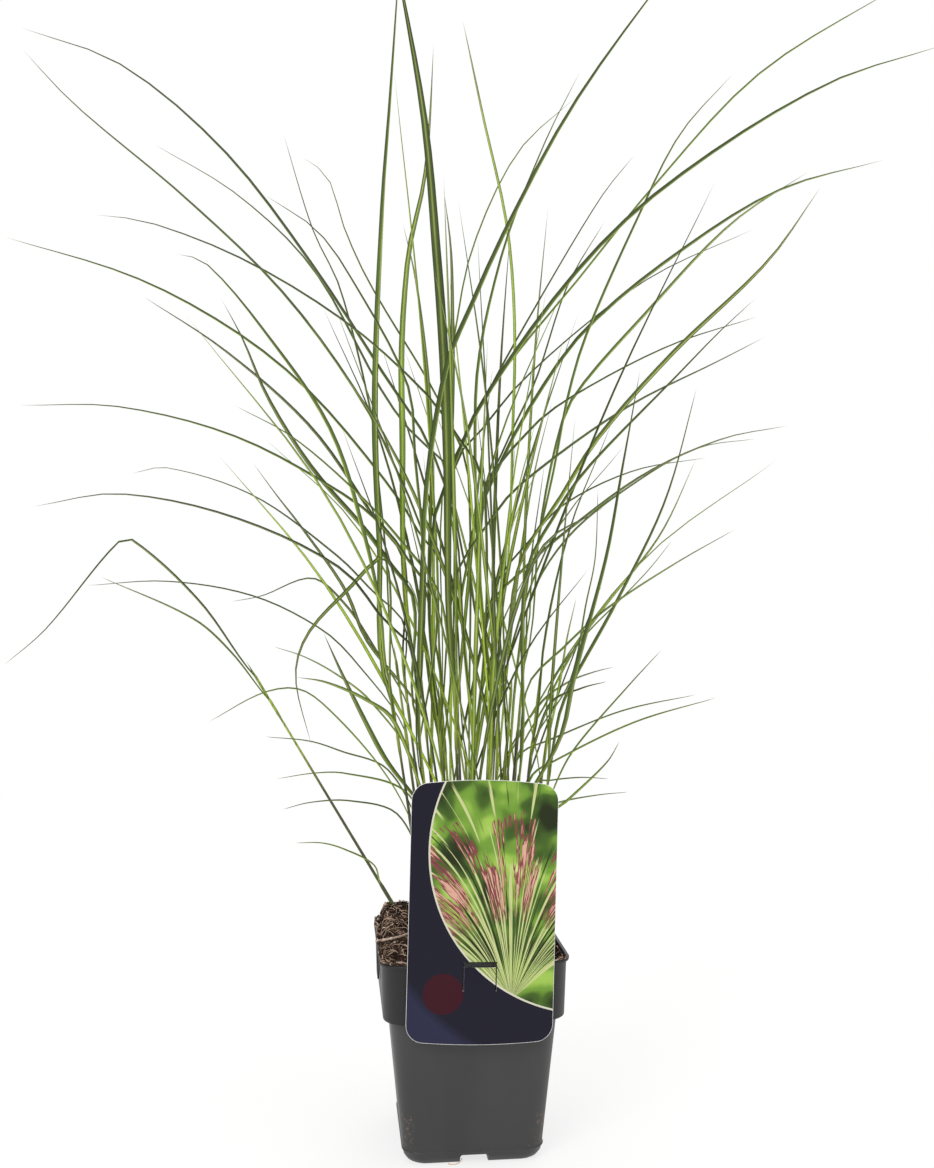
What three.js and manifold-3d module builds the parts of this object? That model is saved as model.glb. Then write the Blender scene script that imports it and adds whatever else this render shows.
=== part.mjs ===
// A clump of maiden grass in a square nursery pot with a hang label.
// Millimetres, +Z up. The origin is the middle of the pot's foot, and the front side faces -Y.
import * as THREE from "three";
import { mergeVertices } from "three/addons/utils/BufferGeometryUtils.js";
import Module from "manifold-3d";

const wasm = await Module();
wasm.setup();

// Pot
const potHeight = 135;
const rimHalf = 62.5;
const rimLow = 132.4;
const bandHalf = 60.8;
const pieceGap = 0.3;
const cornerSteps = 5;

// Pot walls: rings as half width, corner radius and height, up the outside and down the inside
const potOutside = [
  [40.5, 10, 0],
  [43.6, 12, 1.3],
  [45.6, 13.5, 4.5],
  [46.4, 14, 8.5],
  [54.8, 15.5, 94],
  [59.5, 16.2, 96.3],
  [bandHalf, 16.4, rimLow],
  [rimHalf - 0.2, 17.6, rimLow + 0.3],
  [rimHalf, 17.6, potHeight - 0.7],
  [rimHalf - 0.6, 17.2, potHeight],
];
const potInside = [
  [60, 15.9, potHeight],
  [59.6, 15.5, rimLow],
  [58.3, 15.1, 97.5],
  [53.6, 14.5, 95.2],
  [45.3, 12.9, 10],
  [44.2, 11.8, 6.8],
];

// Drain notches, hanging tabs and label ledges, on the middle of the pot's sides
const drainWidth = 18.5;
const drainHeight = 6;
const drainOuter = 48;
const drainInner = 32;
const tabWidth = 18;
const tabHeight = 24;
const tabThickness = 1.1;
const tabDraft = 0.6;
const tabInset = 0.1;
const ledgeReach = 1.6;
const ledgeLow = potHeight - 1.1;
const ledgeHigh = potHeight + 1.2;

// Soil: its edge is level, and it is mounded, highest towards the back left
const soilEdge = 133.6;
const soilMound = 4.6;
const soilSlope = 8.6;
const soilHighSide = [-0.5, 0.86];
const soilLumps = 0.8;
const soilLumpTurns = [0.21, 0.17, 0.43, 0.37];
const soilLumpMix = 0.7;
const soilShoulder = 20;
const soilRings = 6;
const soilRingSpread = 0.5;

// Label
const labelWidth = 94.5;
const labelHeight = 169;
const labelThickness = 0.6;
const labelCorner = 11.5;
const labelCentre = [3.2, 168.4];
const labelLean = 1.5;
const slotWidth = 21.9;
const slotHeight = 3.6;
const slotDrop = 33.4;
const slotAside = -0.7;
const tongueHeight = 15;
const tongueCut = 0.8;

// Dead stem, from the left of the rim over the soil to the clump
const deadStemRadii = [1, 0.9, 0.8, 0.7];
const deadStemPoints = [
  [-62.5, -9, 136.7],
  [-54, -20, 141],
  [-46, -21, 143],
  [-34, -17, 146.3],
];

// Clump: across and away are measured from the pot's axis, in a front view that stands a little
// to the left of the pot's own front
const viewTurn = THREE.MathUtils.degToRad(6.14);
const viewDistance = 866;
const viewHeight = 378;
const clumpAcross = 5;
const clumpAway = 4;
const clumpRadius = 36;
const tillerCount = 28;
const goldenTurn = 2.39996;
const crownHeight = 137;
const fanLean = 0.0048;
const turnJitter = 0.12;
const leanJitter = 0.016;
const seedStart = 4021;

// Stems: how tall they stand above the crown, less so further out, and how deep they are set
const stemHeights = [140, 240];
const stemHeightLoss = 1.6;
const stemDepth = 18;
const stemRadius = 1.7;
const stemTopRadius = 1;
const stemTip = 7;
const stemSides = 5;
const holeGap = 0.5;

// The outer tiller that leans far out to the left
const outerTiller = { across: -47, away: 40, lean: [-0.62, 0.08], height: 178 };

// Leaves: a long one leaves its stem a little below where the front view first tells it apart
const leafDepth = 0.95;
const tipKeel = 0.45;
const rootWidth = 0.62;
const widening = 2.2;
const taper = 1.7;
const leafStep = 52;
const leafAngle = 0.27;
const turnAtRoot = [-0.6, 0.6];
const turnOverLength = [-0.9, 0.9];
const leafSpacing = 12;
const lowestLeaf = 22;
const leafRise = 0.8;
const depthAtClump = 0.2;
const depthCurve = 1.2;
const hostDepth = 0.3;
const hostCount = 4;
const crowding = 45;
const clearGap = 0.3;
const swingCount = 6;
const depthSwing = 6;
const turnSwing = 0.14;

// Where a leaf would hang between the label and a viewer in front of it
const labelShadow = { left: -50, right: 70, top: 262, away: -50 };

// Leaves of the bushy middle: far ones are longer and head to the front or the back
const leavesPerTiller = 4;
const middleStarts = [0.2, 0.94];
const levelJitter = [0.3, 0.7];
const middleLeans = [0.06, 0.5];
const middleDroop = 0.08;
const middleBend = 0.9;
const middleLengths = [200, 400];
const middleWidths = [1.8, 2.8];
const middleFan = 1.3;
const farShare = 0.3;
const farDroop = 0.35;
const farLength = 80;
const farFan = 0.35;
const archSpans = 3;
const archCurve = 1.4;

// Long leaves, as the front view shows them on the plane of the pot's axis: the points run from
// where the leaf leaves the clump to its tip, across and up, and away is how far back its tip lies
const longLeaves = [
  { away: -60, width: 3.4, points: [[-8, 419], [-27, 476], [-53, 516], [-108, 600], [-168, 677],
    [-239, 736], [-308, 761]] },
  { away: 50, width: 3.0, points: [[-30, 408], [-46, 451], [-74, 507], [-127, 579], [-194, 644],
    [-270, 708], [-306, 746]] },
  { away: 110, width: 2.6, points: [[-12, 455], [-37, 481], [-58, 510], [-106, 595], [-158, 646],
    [-216, 681]] },
  { away: -90, width: 3.0, points: [[12, 447], [-6, 479], [-28, 509], [-80, 556], [-151, 600],
    [-219, 627], [-256, 632]] },
  { away: 90, width: 3.0, points: [[-10, 379], [-32, 412], [-50, 441], [-107, 509], [-160, 552],
    [-229, 589], [-319, 617]] },
  { away: -110, width: 3.6, points: [[-60, 360], [-70, 408], [-94, 484], [-141, 554], [-180, 599],
    [-200, 605]] },
  { away: 130, width: 2.8, points: [[-43, 393], [-63, 422], [-107, 485], [-166, 538], [-223, 576]] },
  { away: -40, width: 3.0, points: [[-37, 367], [-54, 393], [-70, 415], [-107, 458], [-137, 506],
    [-155, 548], [-169, 574]] },
  { away: 80, width: 2.4, points: [[-56, 403], [-61, 450], [-65, 491], [-87, 581], [-106, 622],
    [-126, 687]] },
  { away: 120, width: 2.6, points: [[1, 455], [-12, 489], [-25, 515], [-67, 585], [-84, 622],
    [-96, 658], [-114, 672]] },
  { away: -130, width: 2.4, points: [[-30, 395], [-36, 467], [-41, 515], [-80, 589], [-104, 622],
    [-140, 646]] },
  { away: -60, width: 3.8, points: [[-60, 408], [-63, 505], [-58, 637], [-53, 708], [-45, 831]] },
  { away: -170, width: 4.6, points: [[-14, 477], [-16, 534], [-21, 606], [-30, 702], [-54, 835]] },
  { away: 100, width: 3.2, points: [[-45, 505], [-41, 600], [-30, 653], [-26, 692], [-23, 750]] },
  { away: 140, width: 2.4, points: [[-25, 491], [-34, 579], [-44, 626]] },
  { away: 60, width: 2.8, points: [[-10, 546], [-11, 606], [-16, 649]] },
  { away: -190, width: 4.4, points: [[-29, 422], [-23, 479], [-12, 534], [0, 562], [27, 622], [76, 712],
    [160, 828]] },
  { away: 110, width: 3.0, points: [[-17, 441], [-1, 480], [23, 522], [76, 587], [127, 650], [201, 729],
    [298, 790]] },
  { away: -70, width: 3.6, points: [[-24, 412], [-8, 462], [12, 505], [76, 593], [139, 653], [246, 721],
    [332, 750]] },
  { away: 40, width: 2.6, points: [[45, 388], [60, 458], [69, 505], [82, 549], [119, 633], [147, 688],
    [184, 730]] },
  { away: 90, width: 3.0, points: [[32, 505], [29, 612], [10, 704], [-3, 766]] },
  { away: -60, width: 3.0, points: [[6, 505], [23, 601], [54, 683], [78, 731]] },
  { away: 150, width: 2.6, points: [[-14, 501], [-8, 553], [4, 610], [35, 675], [75, 713]] },
  { away: 130, width: 2.8, points: [[-10, 451], [12, 505], [47, 569], [92, 644], [115, 673]] },
  { away: 170, width: 2.8, points: [[8, 425], [27, 475], [47, 518], [69, 583], [95, 628]] },
  { away: 60, width: 3.2, points: [[2, 403], [21, 456], [47, 505], [82, 553], [143, 604], [215, 649],
    [288, 670]] },
  { away: -100, width: 3.2, points: [[36, 391], [65, 438], [91, 479], [143, 538], [207, 600], [244, 652]] },
  { away: 120, width: 2.6, points: [[50, 415], [62, 476], [74, 507], [123, 564], [182, 626], [237, 663]] },
  { away: 160, width: 2.4, points: [[-10, 455], [14, 489], [38, 518], [88, 562], [133, 593], [197, 622]] },
  { away: -130, width: 2.8, points: [[41, 384], [66, 434], [85, 460], [143, 520], [174, 552], [199, 575]] },
  { away: 30, width: 2.8, points: [[12, 439], [43, 484], [72, 507], [139, 542], [200, 562]] },
  { away: -40, width: 3.0, points: [[-8, 382], [16, 422], [36, 446], [109, 499], [174, 532], [205, 548]] },
  { away: -40, width: 3.4, points: [[-21, 363], [-39, 392], [-57, 417], [-84, 439], [-158, 479],
    [-239, 500], [-309, 501]] },
  { away: 110, width: 2.4, points: [[-43, 350], [-65, 373], [-90, 398], [-147, 439], [-206, 458],
    [-231, 454]] },
  { away: -110, width: 3.0, points: [[-38, 333], [-57, 353], [-86, 388], [-158, 423], [-239, 440],
    [-300, 431]] },
  { away: 60, width: 3.0, outer: true, points: [[-184, 366], [-230, 408], [-241, 406], [-290, 347],
    [-319, 322]] },
  { away: 60, width: 2.6, points: [[-76, 324], [-100, 347], [-147, 370], [-206, 380], [-262, 377]] },
  { away: 40, width: 2.6, outer: true, points: [[-162, 331], [-188, 354], [-252, 383]] },
  { away: -80, width: 2.6, points: [[-60, 253], [-96, 293], [-116, 306], [-141, 303], [-178, 283]] },
  { away: 40, width: 2.6, points: [[-55, 251], [-86, 263], [-108, 270], [-139, 273]] },
  { away: -30, width: 2.8, points: [[-43, 236], [-84, 248], [-106, 248], [-131, 244]] },
  { away: -120, width: 2.8, points: [[-56, 395], [-84, 372], [-110, 343], [-118, 314], [-107, 267]] },
  { away: 140, width: 2.2, points: [[-63, 333], [-84, 364], [-107, 382], [-141, 370], [-162, 366]] },
  { away: -60, width: 4.0, points: [[-56, 257], [-69, 281], [-86, 316], [-99, 345]] },
  { away: -130, width: 2.8, points: [[-50, 283], [-69, 298], [-96, 310], [-118, 314]] },
  { away: 90, width: 2.2, points: [[-67, 298], [-90, 316], [-112, 328], [-133, 335]] },
  { away: 130, width: 2.8, points: [[-69, 339], [-84, 374], [-114, 417], [-131, 439], [-147, 461]] },
  { away: -150, width: 2.4, points: [[-19, 370], [-46, 408], [-76, 441], [-120, 479], [-160, 501]] },
  { away: -50, width: 3.2, points: [[12, 355], [41, 390], [72, 417], [123, 454], [176, 478], [221, 487]] },
  { away: 80, width: 2.6, points: [[43, 367], [71, 412], [119, 450], [160, 472], [199, 478]] },
  { away: 130, width: 2.6, points: [[19, 374], [43, 408], [67, 433], [115, 456], [165, 465]] },
  { away: -70, width: 3.2, points: [[59, 263], [67, 298], [103, 366], [136, 435], [158, 513]] },
  { away: 110, width: 2.6, points: [[54, 295], [74, 333], [96, 364], [133, 412], [158, 465]] },
  { away: -110, width: 3.0, points: [[41, 306], [67, 335], [96, 361], [143, 392], [185, 416]] },
  { away: 60, width: 2.4, points: [[56, 304], [78, 339], [105, 367], [125, 388], [141, 408]] },
  { away: -60, width: 2.4, points: [[61, 241], [74, 265], [111, 308], [134, 333]] },
  { away: 80, width: 2.8, points: [[36, 260], [57, 271], [107, 291], [158, 302]] },
  { away: -80, width: 3.2, points: [[44, 245], [61, 257], [115, 283], [172, 300]] },
  { away: -40, width: 3.0, points: [[57, 219], [69, 229], [96, 255], [105, 270]] },
  { away: 90, width: 2.2, points: [[50, 221], [64, 228], [90, 233], [111, 235]] },
  { away: 120, width: 2.2, points: [[47, 240], [57, 243], [78, 245], [98, 244]] },
  { away: 130, width: 2.4, points: [[50, 295], [69, 310], [86, 317], [101, 321]] },
  { away: -100, width: 2.2, points: [[57, 295], [78, 306], [96, 311]] },
  { away: 90, width: 2.2, points: [[63, 305], [69, 341], [75, 368]] },
  { away: -140, width: 3.0, points: [[64, 271], [74, 314], [96, 396], [107, 458], [119, 525]] },
  { away: 40, width: 2.8, points: [[71, 312], [82, 366], [88, 396], [90, 443]] },
  { away: 30, width: 2.6, outer: true, points: [[-64, 185], [-85, 196], [-100, 200], [-118, 200]] },
  { away: 60, width: 2.6, points: [[-48, 220], [-80, 229], [-107, 228], [-127, 223]] },
];

// Seeded draws
let seed = seedStart;
function draw(low, high) {
  seed = (seed * 1664525 + 1013904223) % 4294967296;
  return low + ((high - low) * seed) / 4294967296;
}

// Vectors
const up = new THREE.Vector3(0, 0, 1);

function vector(x, y, z) {
  return new THREE.Vector3(x, y, z);
}

// A point of the front view's own axes, in the pot's axes
function fromView(across, away, height) {
  const cosTurn = Math.cos(viewTurn);
  const sinTurn = Math.sin(viewTurn);
  return vector(across * cosTurn + away * sinTurn, away * cosTurn - across * sinTurn, height);
}

// The point at a given depth that the front view shows at across and height
function seenAt(across, height, away) {
  const scale = (away + viewDistance) / viewDistance;
  return fromView(across * scale, away, viewHeight + (height - viewHeight) * scale);
}

// Solids from rings of points, in turn from one end to the other, closed by flat ends or a tip
function loft(rings, tip) {
  const count = rings[0].length;
  const positions = rings.flat().flatMap((point) => [point.x, point.y, point.z]);
  const faces = [];
  for (let i = 1; i < count - 1; i += 1) {
    faces.push(0, i + 1, i);
  }
  for (let ring = 0; ring < rings.length - 1; ring += 1) {
    for (let i = 0; i < count; i += 1) {
      const a = ring * count + i;
      const b = ring * count + ((i + 1) % count);
      faces.push(a, b, b + count, a, b + count, a + count);
    }
  }
  const last = (rings.length - 1) * count;
  if (tip) {
    positions.push(tip.x, tip.y, tip.z);
    for (let i = 0; i < count; i += 1) {
      faces.push(last + i, last + ((i + 1) % count), last + count);
    }
  } else {
    for (let i = 1; i < count - 1; i += 1) {
      faces.push(last, last + i, last + i + 1);
    }
  }
  const geometry = new THREE.BufferGeometry();
  geometry.setAttribute("position", new THREE.Float32BufferAttribute(positions, 3));
  geometry.setIndex(faces);
  return geometry;
}

function solidOf(geometry) {
  const bare = geometry.clone();
  bare.deleteAttribute("normal");
  bare.deleteAttribute("uv");
  const merged = mergeVertices(bare, 1e-4);
  return new wasm.Manifold(new wasm.Mesh({
    numProp: 3,
    vertProperties: merged.attributes.position.array,
    triVerts: new Uint32Array(merged.index.array),
  }));
}

function geometryOf(solid) {
  const mesh = solid.getMesh();
  const geometry = new THREE.BufferGeometry();
  geometry.setAttribute("position", new THREE.Float32BufferAttribute(mesh.vertProperties, 3));
  geometry.setIndex(Array.from(mesh.triVerts));
  geometry.computeVertexNormals();
  return geometry;
}

// Pot
function squareRing(half, corner, height) {
  const points = [];
  for (let side = 0; side < 4; side += 1) {
    const start = (side * Math.PI) / 2;
    const middle = vector(half - corner, half - corner, height).applyAxisAngle(up, start);
    for (let step = 0; step <= cornerSteps; step += 1) {
      const turn = start + (step * Math.PI) / 2 / cornerSteps;
      points.push(vector(corner * Math.cos(turn), corner * Math.sin(turn), 0).add(middle));
    }
  }
  return points;
}

function potSolid() {
  const rings = [...potOutside, ...potInside].map((ring) => squareRing(...ring));
  let solid = solidOf(loft(rings));
  for (let side = 0; side < 4; side += 1) {
    const turn = (side * Math.PI) / 2;
    solid = solid.add(tabSolid(turn)).subtract(drainSolid(turn));
  }
  return solid.add(ledgeSolid(Math.PI / 2)).add(ledgeSolid(-Math.PI / 2));
}

// A tab, which drops from the rim outside the band
function tabSolid(turn) {
  const outer = rimHalf - tabInset;
  const foot = potHeight - tabHeight;
  const outline = new THREE.Shape();
  outline.moveTo(bandHalf, rimLow + tabThickness);
  outline.lineTo(outer - tabThickness, rimLow);
  outline.lineTo(outer - tabThickness - tabDraft, foot);
  outline.lineTo(outer - tabDraft, foot);
  outline.lineTo(outer, rimLow + tabThickness);
  outline.closePath();
  const geometry = new THREE.ExtrudeGeometry(outline, { depth: tabWidth, bevelEnabled: false });
  geometry.rotateX(Math.PI / 2);
  geometry.translate(0, tabWidth / 2, 0);
  geometry.rotateZ(turn);
  return solidOf(geometry);
}

// The ledge on top of the rim that a label hangs on
function ledgeSolid(turn) {
  const depth = rimHalf + ledgeReach - bandHalf;
  const height = ledgeHigh - ledgeLow;
  const geometry = new THREE.BoxGeometry(depth, tabWidth, height);
  geometry.translate(bandHalf + depth / 2, 0, ledgeLow + height / 2);
  geometry.rotateZ(turn);
  return solidOf(geometry);
}

function drainSolid(turn) {
  const depth = drainOuter - drainInner;
  const geometry = new THREE.BoxGeometry(depth, drainWidth, 2 * drainHeight);
  geometry.translate(drainInner + depth / 2, 0, 0);
  geometry.rotateZ(turn);
  return solidOf(geometry);
}

// Soil
function soilHeight(x, y) {
  const edge = potInside[1][0] - pieceGap;
  const inset = 1 - (Math.max(Math.abs(x), Math.abs(y)) / edge) ** soilShoulder;
  const side = (x * soilHighSide[0] + y * soilHighSide[1]) / edge;
  const [a, b, c, d] = soilLumpTurns;
  const lumps = Math.sin(x * a + 1) * Math.cos(y * b) + soilLumpMix * Math.sin(x * c + y * d);
  return soilEdge + inset * (soilMound + soilSlope * side + soilLumps * lumps);
}

function soilSolid(stems) {
  const [half, corner] = potInside[1].map((size) => size - pieceGap);
  const walls = potInside.slice(2).reverse();
  const rings = walls.map(([wall, bend, height]) => (
    squareRing(wall - pieceGap, bend - pieceGap, height + pieceGap)
  ));
  rings.push(squareRing(half, corner, soilEdge));
  for (let ring = 1; ring < soilRings; ring += 1) {
    const scale = (1 - ring / soilRings) ** soilRingSpread;
    const flat = squareRing(half * scale, corner * scale, 0);
    rings.push(flat.map((point) => vector(point.x, point.y, soilHeight(point.x, point.y))));
  }
  let solid = solidOf(loft(rings, vector(0, 0, soilHeight(0, 0))));
  for (const stem of stems) {
    solid = solid.subtract(holeSolid(stem));
  }
  return solid;
}

// Label: a plate with round corners, a slot for the tab's ledge and a tongue cut free below it
function labelGeometry() {
  const halfWidth = labelWidth / 2;
  const halfHeight = labelHeight / 2;
  const outline = new THREE.Shape();
  outline.moveTo(-halfWidth + labelCorner, -halfHeight);
  outline.lineTo(halfWidth - labelCorner, -halfHeight);
  outline.quadraticCurveTo(halfWidth, -halfHeight, halfWidth, -halfHeight + labelCorner);
  outline.lineTo(halfWidth, halfHeight - labelCorner);
  outline.quadraticCurveTo(halfWidth, halfHeight, halfWidth - labelCorner, halfHeight);
  outline.lineTo(-halfWidth + labelCorner, halfHeight);
  outline.quadraticCurveTo(-halfWidth, halfHeight, -halfWidth, halfHeight - labelCorner);
  outline.lineTo(-halfWidth, -halfHeight + labelCorner);
  outline.quadraticCurveTo(-halfWidth, -halfHeight, -halfWidth + labelCorner, -halfHeight);
  const left = slotAside - slotWidth / 2;
  const right = slotAside + slotWidth / 2;
  const top = -slotDrop + slotHeight / 2;
  const low = -slotDrop - slotHeight / 2;
  const cut = new THREE.Path();
  cut.moveTo(left, top);
  cut.lineTo(right, top);
  cut.lineTo(right, low - tongueHeight);
  cut.lineTo(right - tongueCut, low - tongueHeight);
  cut.lineTo(right - tongueCut, low);
  cut.lineTo(left + tongueCut, low);
  cut.lineTo(left + tongueCut, low - tongueHeight);
  cut.lineTo(left, low - tongueHeight);
  cut.closePath();
  outline.holes.push(cut);
  const plate = { depth: labelThickness, bevelEnabled: false, curveSegments: 5 };
  const geometry = new THREE.ExtrudeGeometry(outline, plate);
  geometry.rotateX(Math.PI / 2);
  geometry.rotateY(THREE.MathUtils.degToRad(labelLean));
  geometry.translate(labelCentre[0], -rimHalf - pieceGap, labelCentre[1]);
  return geometry;
}

// A ring of a round stem: its sides stand across the way it runs
function roundRing(centre, way, radius, sides) {
  const across = vector(0, 1, 0).cross(way).normalize();
  const along = way.clone().cross(across).normalize();
  const points = [];
  for (let i = 0; i < sides; i += 1) {
    const turn = (i * 2 * Math.PI) / sides;
    const point = centre.clone().addScaledVector(across, radius * Math.cos(turn));
    points.push(point.addScaledVector(along, radius * Math.sin(turn)));
  }
  return points;
}

function deadStemGeometry() {
  const points = deadStemPoints.map(([x, y, z]) => vector(x, y, z));
  const rings = points.map((point, i) => {
    const way = points[Math.min(i + 1, points.length - 1)].clone().sub(points[Math.max(i - 1, 0)]);
    return roundRing(point, way.normalize(), deadStemRadii[i], stemSides);
  });
  return loft(rings);
}

// Tillers: a spiral of stems that fan out from the crown
function makeTillers() {
  const tillers = [];
  for (let i = 0; i < tillerCount; i += 1) {
    const reach = clumpRadius * Math.sqrt((i + 0.5) / tillerCount);
    const turn = i * goldenTurn + draw(-turnJitter, turnJitter);
    const across = reach * Math.cos(turn);
    const away = reach * Math.sin(turn);
    tillers.push({
      across: clumpAcross + across,
      away: clumpAway + away,
      lean: [
        across * fanLean + draw(-leanJitter, leanJitter),
        away * fanLean + draw(-leanJitter, leanJitter),
      ],
      height: draw(...stemHeights) - stemHeightLoss * reach,
      leaves: 0,
    });
  }
  tillers.push({ ...outerTiller, leaves: 0 });
  return tillers;
}

// The middle of a stem at a height above the crown
function stemPoint(tiller, height) {
  return fromView(
    tiller.across + tiller.lean[0] * height,
    tiller.away + tiller.lean[1] * height,
    crownHeight + height,
  );
}

function stemWay(tiller) {
  return stemPoint(tiller, 1).sub(stemPoint(tiller, 0)).normalize();
}

function stemRadiusAt(tiller, height) {
  return stemRadius + ((stemTopRadius - stemRadius) * Math.max(height, 0)) / tiller.height;
}

function stemSolid(tiller, extra = 0) {
  const way = stemWay(tiller);
  const heights = [-stemDepth, 0, tiller.height / 2, tiller.height];
  const rings = heights.map((height) => {
    const radius = stemRadiusAt(tiller, height) + extra;
    return roundRing(stemPoint(tiller, height), way, radius, stemSides);
  });
  return solidOf(loft(rings, stemPoint(tiller, tiller.height + stemTip)));
}

function holeSolid(tiller) {
  const way = stemWay(tiller);
  const radius = stemRadius + holeGap;
  const low = roundRing(stemPoint(tiller, -stemDepth - pieceGap), way, radius, stemSides);
  const high = roundRing(stemPoint(tiller, 2 * stemDepth), way, radius, stemSides);
  return solidOf(loft([low, high]));
}

// The smooth course through a leaf's points: it leaves the first one along the way given
function courseOf(points, startWay) {
  const chords = points.slice(1).map((point, i) => point.distanceTo(points[i]));
  const ways = points.map((point, i) => {
    if (i === 0) {
      return startWay.clone();
    }
    if (i === points.length - 1) {
      return point.clone().sub(points[i - 1]).divideScalar(chords[i - 1]);
    }
    return points[i + 1].clone().sub(points[i - 1]).divideScalar(chords[i] + chords[i - 1]);
  });
  return { points, chords, ways };
}

function courseAt(course, span, part) {
  const { points, chords, ways } = course;
  const from = 2 * part ** 3 - 3 * part ** 2 + 1;
  const fromWay = (part ** 3 - 2 * part ** 2 + part) * chords[span];
  const toWay = (part ** 3 - part ** 2) * chords[span];
  return points[span].clone().multiplyScalar(from)
    .addScaledVector(ways[span], fromWay)
    .addScaledVector(points[span + 1], 1 - from)
    .addScaledVector(ways[span + 1], toWay);
}

// Points along the course, with the part of the leaf's length that each has reached
function courseSteps(course) {
  const total = course.chords.reduce((sum, chord) => sum + chord, 0);
  const steps = [{ point: course.points[0], reached: 0 }];
  let before = 0;
  course.chords.forEach((chord, span) => {
    const parts = Math.max(1, Math.round(chord / leafStep));
    for (let i = 1; i <= parts; i += 1) {
      const reached = (before + (chord * i) / parts) / total;
      steps.push({ point: courseAt(course, span, i / parts), reached });
    }
    before += chord;
  });
  return steps;
}

// A leaf: flat above, with a keel below, widest low down and drawn out to a point
function leafSolid(leaf, extra = 0) {
  const steps = courseSteps(courseOf(leaf.points, leaf.startWay));
  const last = steps.length - 1;
  const rings = steps.slice(0, last).map(({ point, reached }, i) => {
    const next = steps[i + 1].point.clone();
    const way = next.sub(i > 0 ? steps[i - 1].point : point).normalize();
    const side = vector(-leaf.heading.y, leaf.heading.x, 0);
    side.applyAxisAngle(way, leaf.twist[0] + leaf.twist[1] * reached);
    side.addScaledVector(way, -side.dot(way)).normalize();
    const face = way.clone().cross(side);
    const wide = Math.min(1, rootWidth + widening * reached) * (1 - reached ** taper);
    const half = (leaf.width * wide) / 2 + extra;
    const keel = leafDepth * (tipKeel + (1 - tipKeel) * wide) + extra;
    return [
      point.clone().addScaledVector(side, half).addScaledVector(face, extra),
      point.clone().addScaledVector(side, -half).addScaledVector(face, extra),
      point.clone().addScaledVector(face, -keel),
    ];
  });
  return solidOf(loft(rings, steps[last].point));
}

function headingOf(from, to) {
  return vector(to.x - from.x, to.y - from.y, 0).normalize();
}

// A long leaf on a tiller: its tip may swing nearer or further to pass its neighbours
function longLeaf(leaf, tiller, twist, swing) {
  const tipAway = leaf.away + swing;
  const lowAway = tiller.away + (tipAway - tiller.away) * depthAtClump;
  const low = seenAt(...leaf.points[0], lowAway);
  const lowHeight = low.z - crownHeight;
  const aside = low.clone().sub(stemPoint(tiller, lowHeight)).setZ(0).length();
  const top = tiller.height - leafSpacing * (tiller.leaves + 0.5);
  const start = Math.max(lowestLeaf, Math.min(top, lowHeight - leafRise * aside - 2 * leafSpacing));
  const root = stemPoint(tiller, start);
  const points = [root, low];
  for (let i = 1; i < leaf.points.length; i += 1) {
    const part = (i / (leaf.points.length - 1)) ** depthCurve;
    points.push(seenAt(...leaf.points[i], lowAway + (tipAway - lowAway) * part));
  }
  const startWay = stemWay(tiller).addScaledVector(headingOf(root, low), leafAngle).normalize();
  const heading = headingOf(root, points[points.length - 1]);
  return { points, startWay, heading, twist, width: leaf.width };
}

// The tillers nearest to where a long leaf's course would meet the crown, the less leafy first
function hostsFor(leaf, tillers) {
  const [firstAcross, firstHeight] = leaf.points[0];
  const fan = 1 + fanLean * (firstHeight - crownHeight);
  const across = clumpAcross + (firstAcross - clumpAcross) / fan;
  const away = clumpAway + (hostDepth * leaf.away - clumpAway) / fan;
  const cost = (tiller) => (
    (tiller.across - across) ** 2 + (tiller.away - away) ** 2 + crowding * tiller.leaves ** 2
  );
  const inner = tillers.slice(0, tillerCount);
  return inner.sort((a, b) => cost(a) - cost(b)).slice(0, hostCount);
}

// A leaf of the bushy middle: it rises from the stem and arches over towards its heading
function arching(tiller, leaf, turn) {
  const heading = fromView(Math.cos(turn), Math.sin(turn), 0);
  const points = [stemPoint(tiller, leaf.start)];
  const span = leaf.length / archSpans;
  for (let i = 0; i < archSpans; i += 1) {
    const lean = leaf.lean + leaf.droop * ((i + 0.5) / archSpans) ** archCurve;
    const point = points[i].clone().addScaledVector(heading, Math.sin(lean) * span);
    points.push(point.addScaledVector(up, Math.cos(lean) * span));
  }
  const startWay = stemWay(tiller).addScaledVector(heading, leafAngle).normalize();
  return { points, startWay, heading, twist: leaf.twist, width: leaf.width };
}

// No leaf hangs between the label and a viewer in front of it
function hidesLabel(leaf) {
  return courseSteps(courseOf(leaf.points, leaf.startWay)).some(({ point }) => {
    const across = point.x * Math.cos(viewTurn) - point.y * Math.sin(viewTurn);
    const away = point.x * Math.sin(viewTurn) + point.y * Math.cos(viewTurn);
    const scale = viewDistance / (away + viewDistance);
    const height = viewHeight + (point.z - viewHeight) * scale;
    const inFront = away < labelShadow.away && height < labelShadow.top;
    return inFront && across * scale > labelShadow.left && across * scale < labelShadow.right;
  });
}

// The solids placed so far, each with its box, so that a new leaf can be bent clear of them
const placed = [];

function place(solid, owner) {
  placed.push({ solid, owner, box: solid.boundingBox() });
}

function boxesMeet(a, b) {
  return [0, 1, 2].every((axis) => a.min[axis] < b.max[axis] && b.min[axis] < a.max[axis]);
}

function isClear(solid, owner) {
  const box = solid.boundingBox();
  return placed.every((other) => {
    if (other.owner === owner || !boxesMeet(box, other.box)) {
      return true;
    }
    const shared = solid.intersect(other.solid);
    const empty = shared.isEmpty();
    shared.delete();
    return empty;
  });
}

// The first of a leaf's courses that is clear of every other tiller, fused to its stem
function growLeaf(courses) {
  for (const { tiller, leaf } of courses) {
    if (!hidesLabel(leaf) && isClear(leafSolid(leaf, clearGap), tiller)) {
      const solid = leafSolid(leaf);
      tiller.solid = tiller.solid.add(solid);
      tiller.leaves += 1;
      place(solid, tiller);
      return true;
    }
  }
  return false;
}

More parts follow.
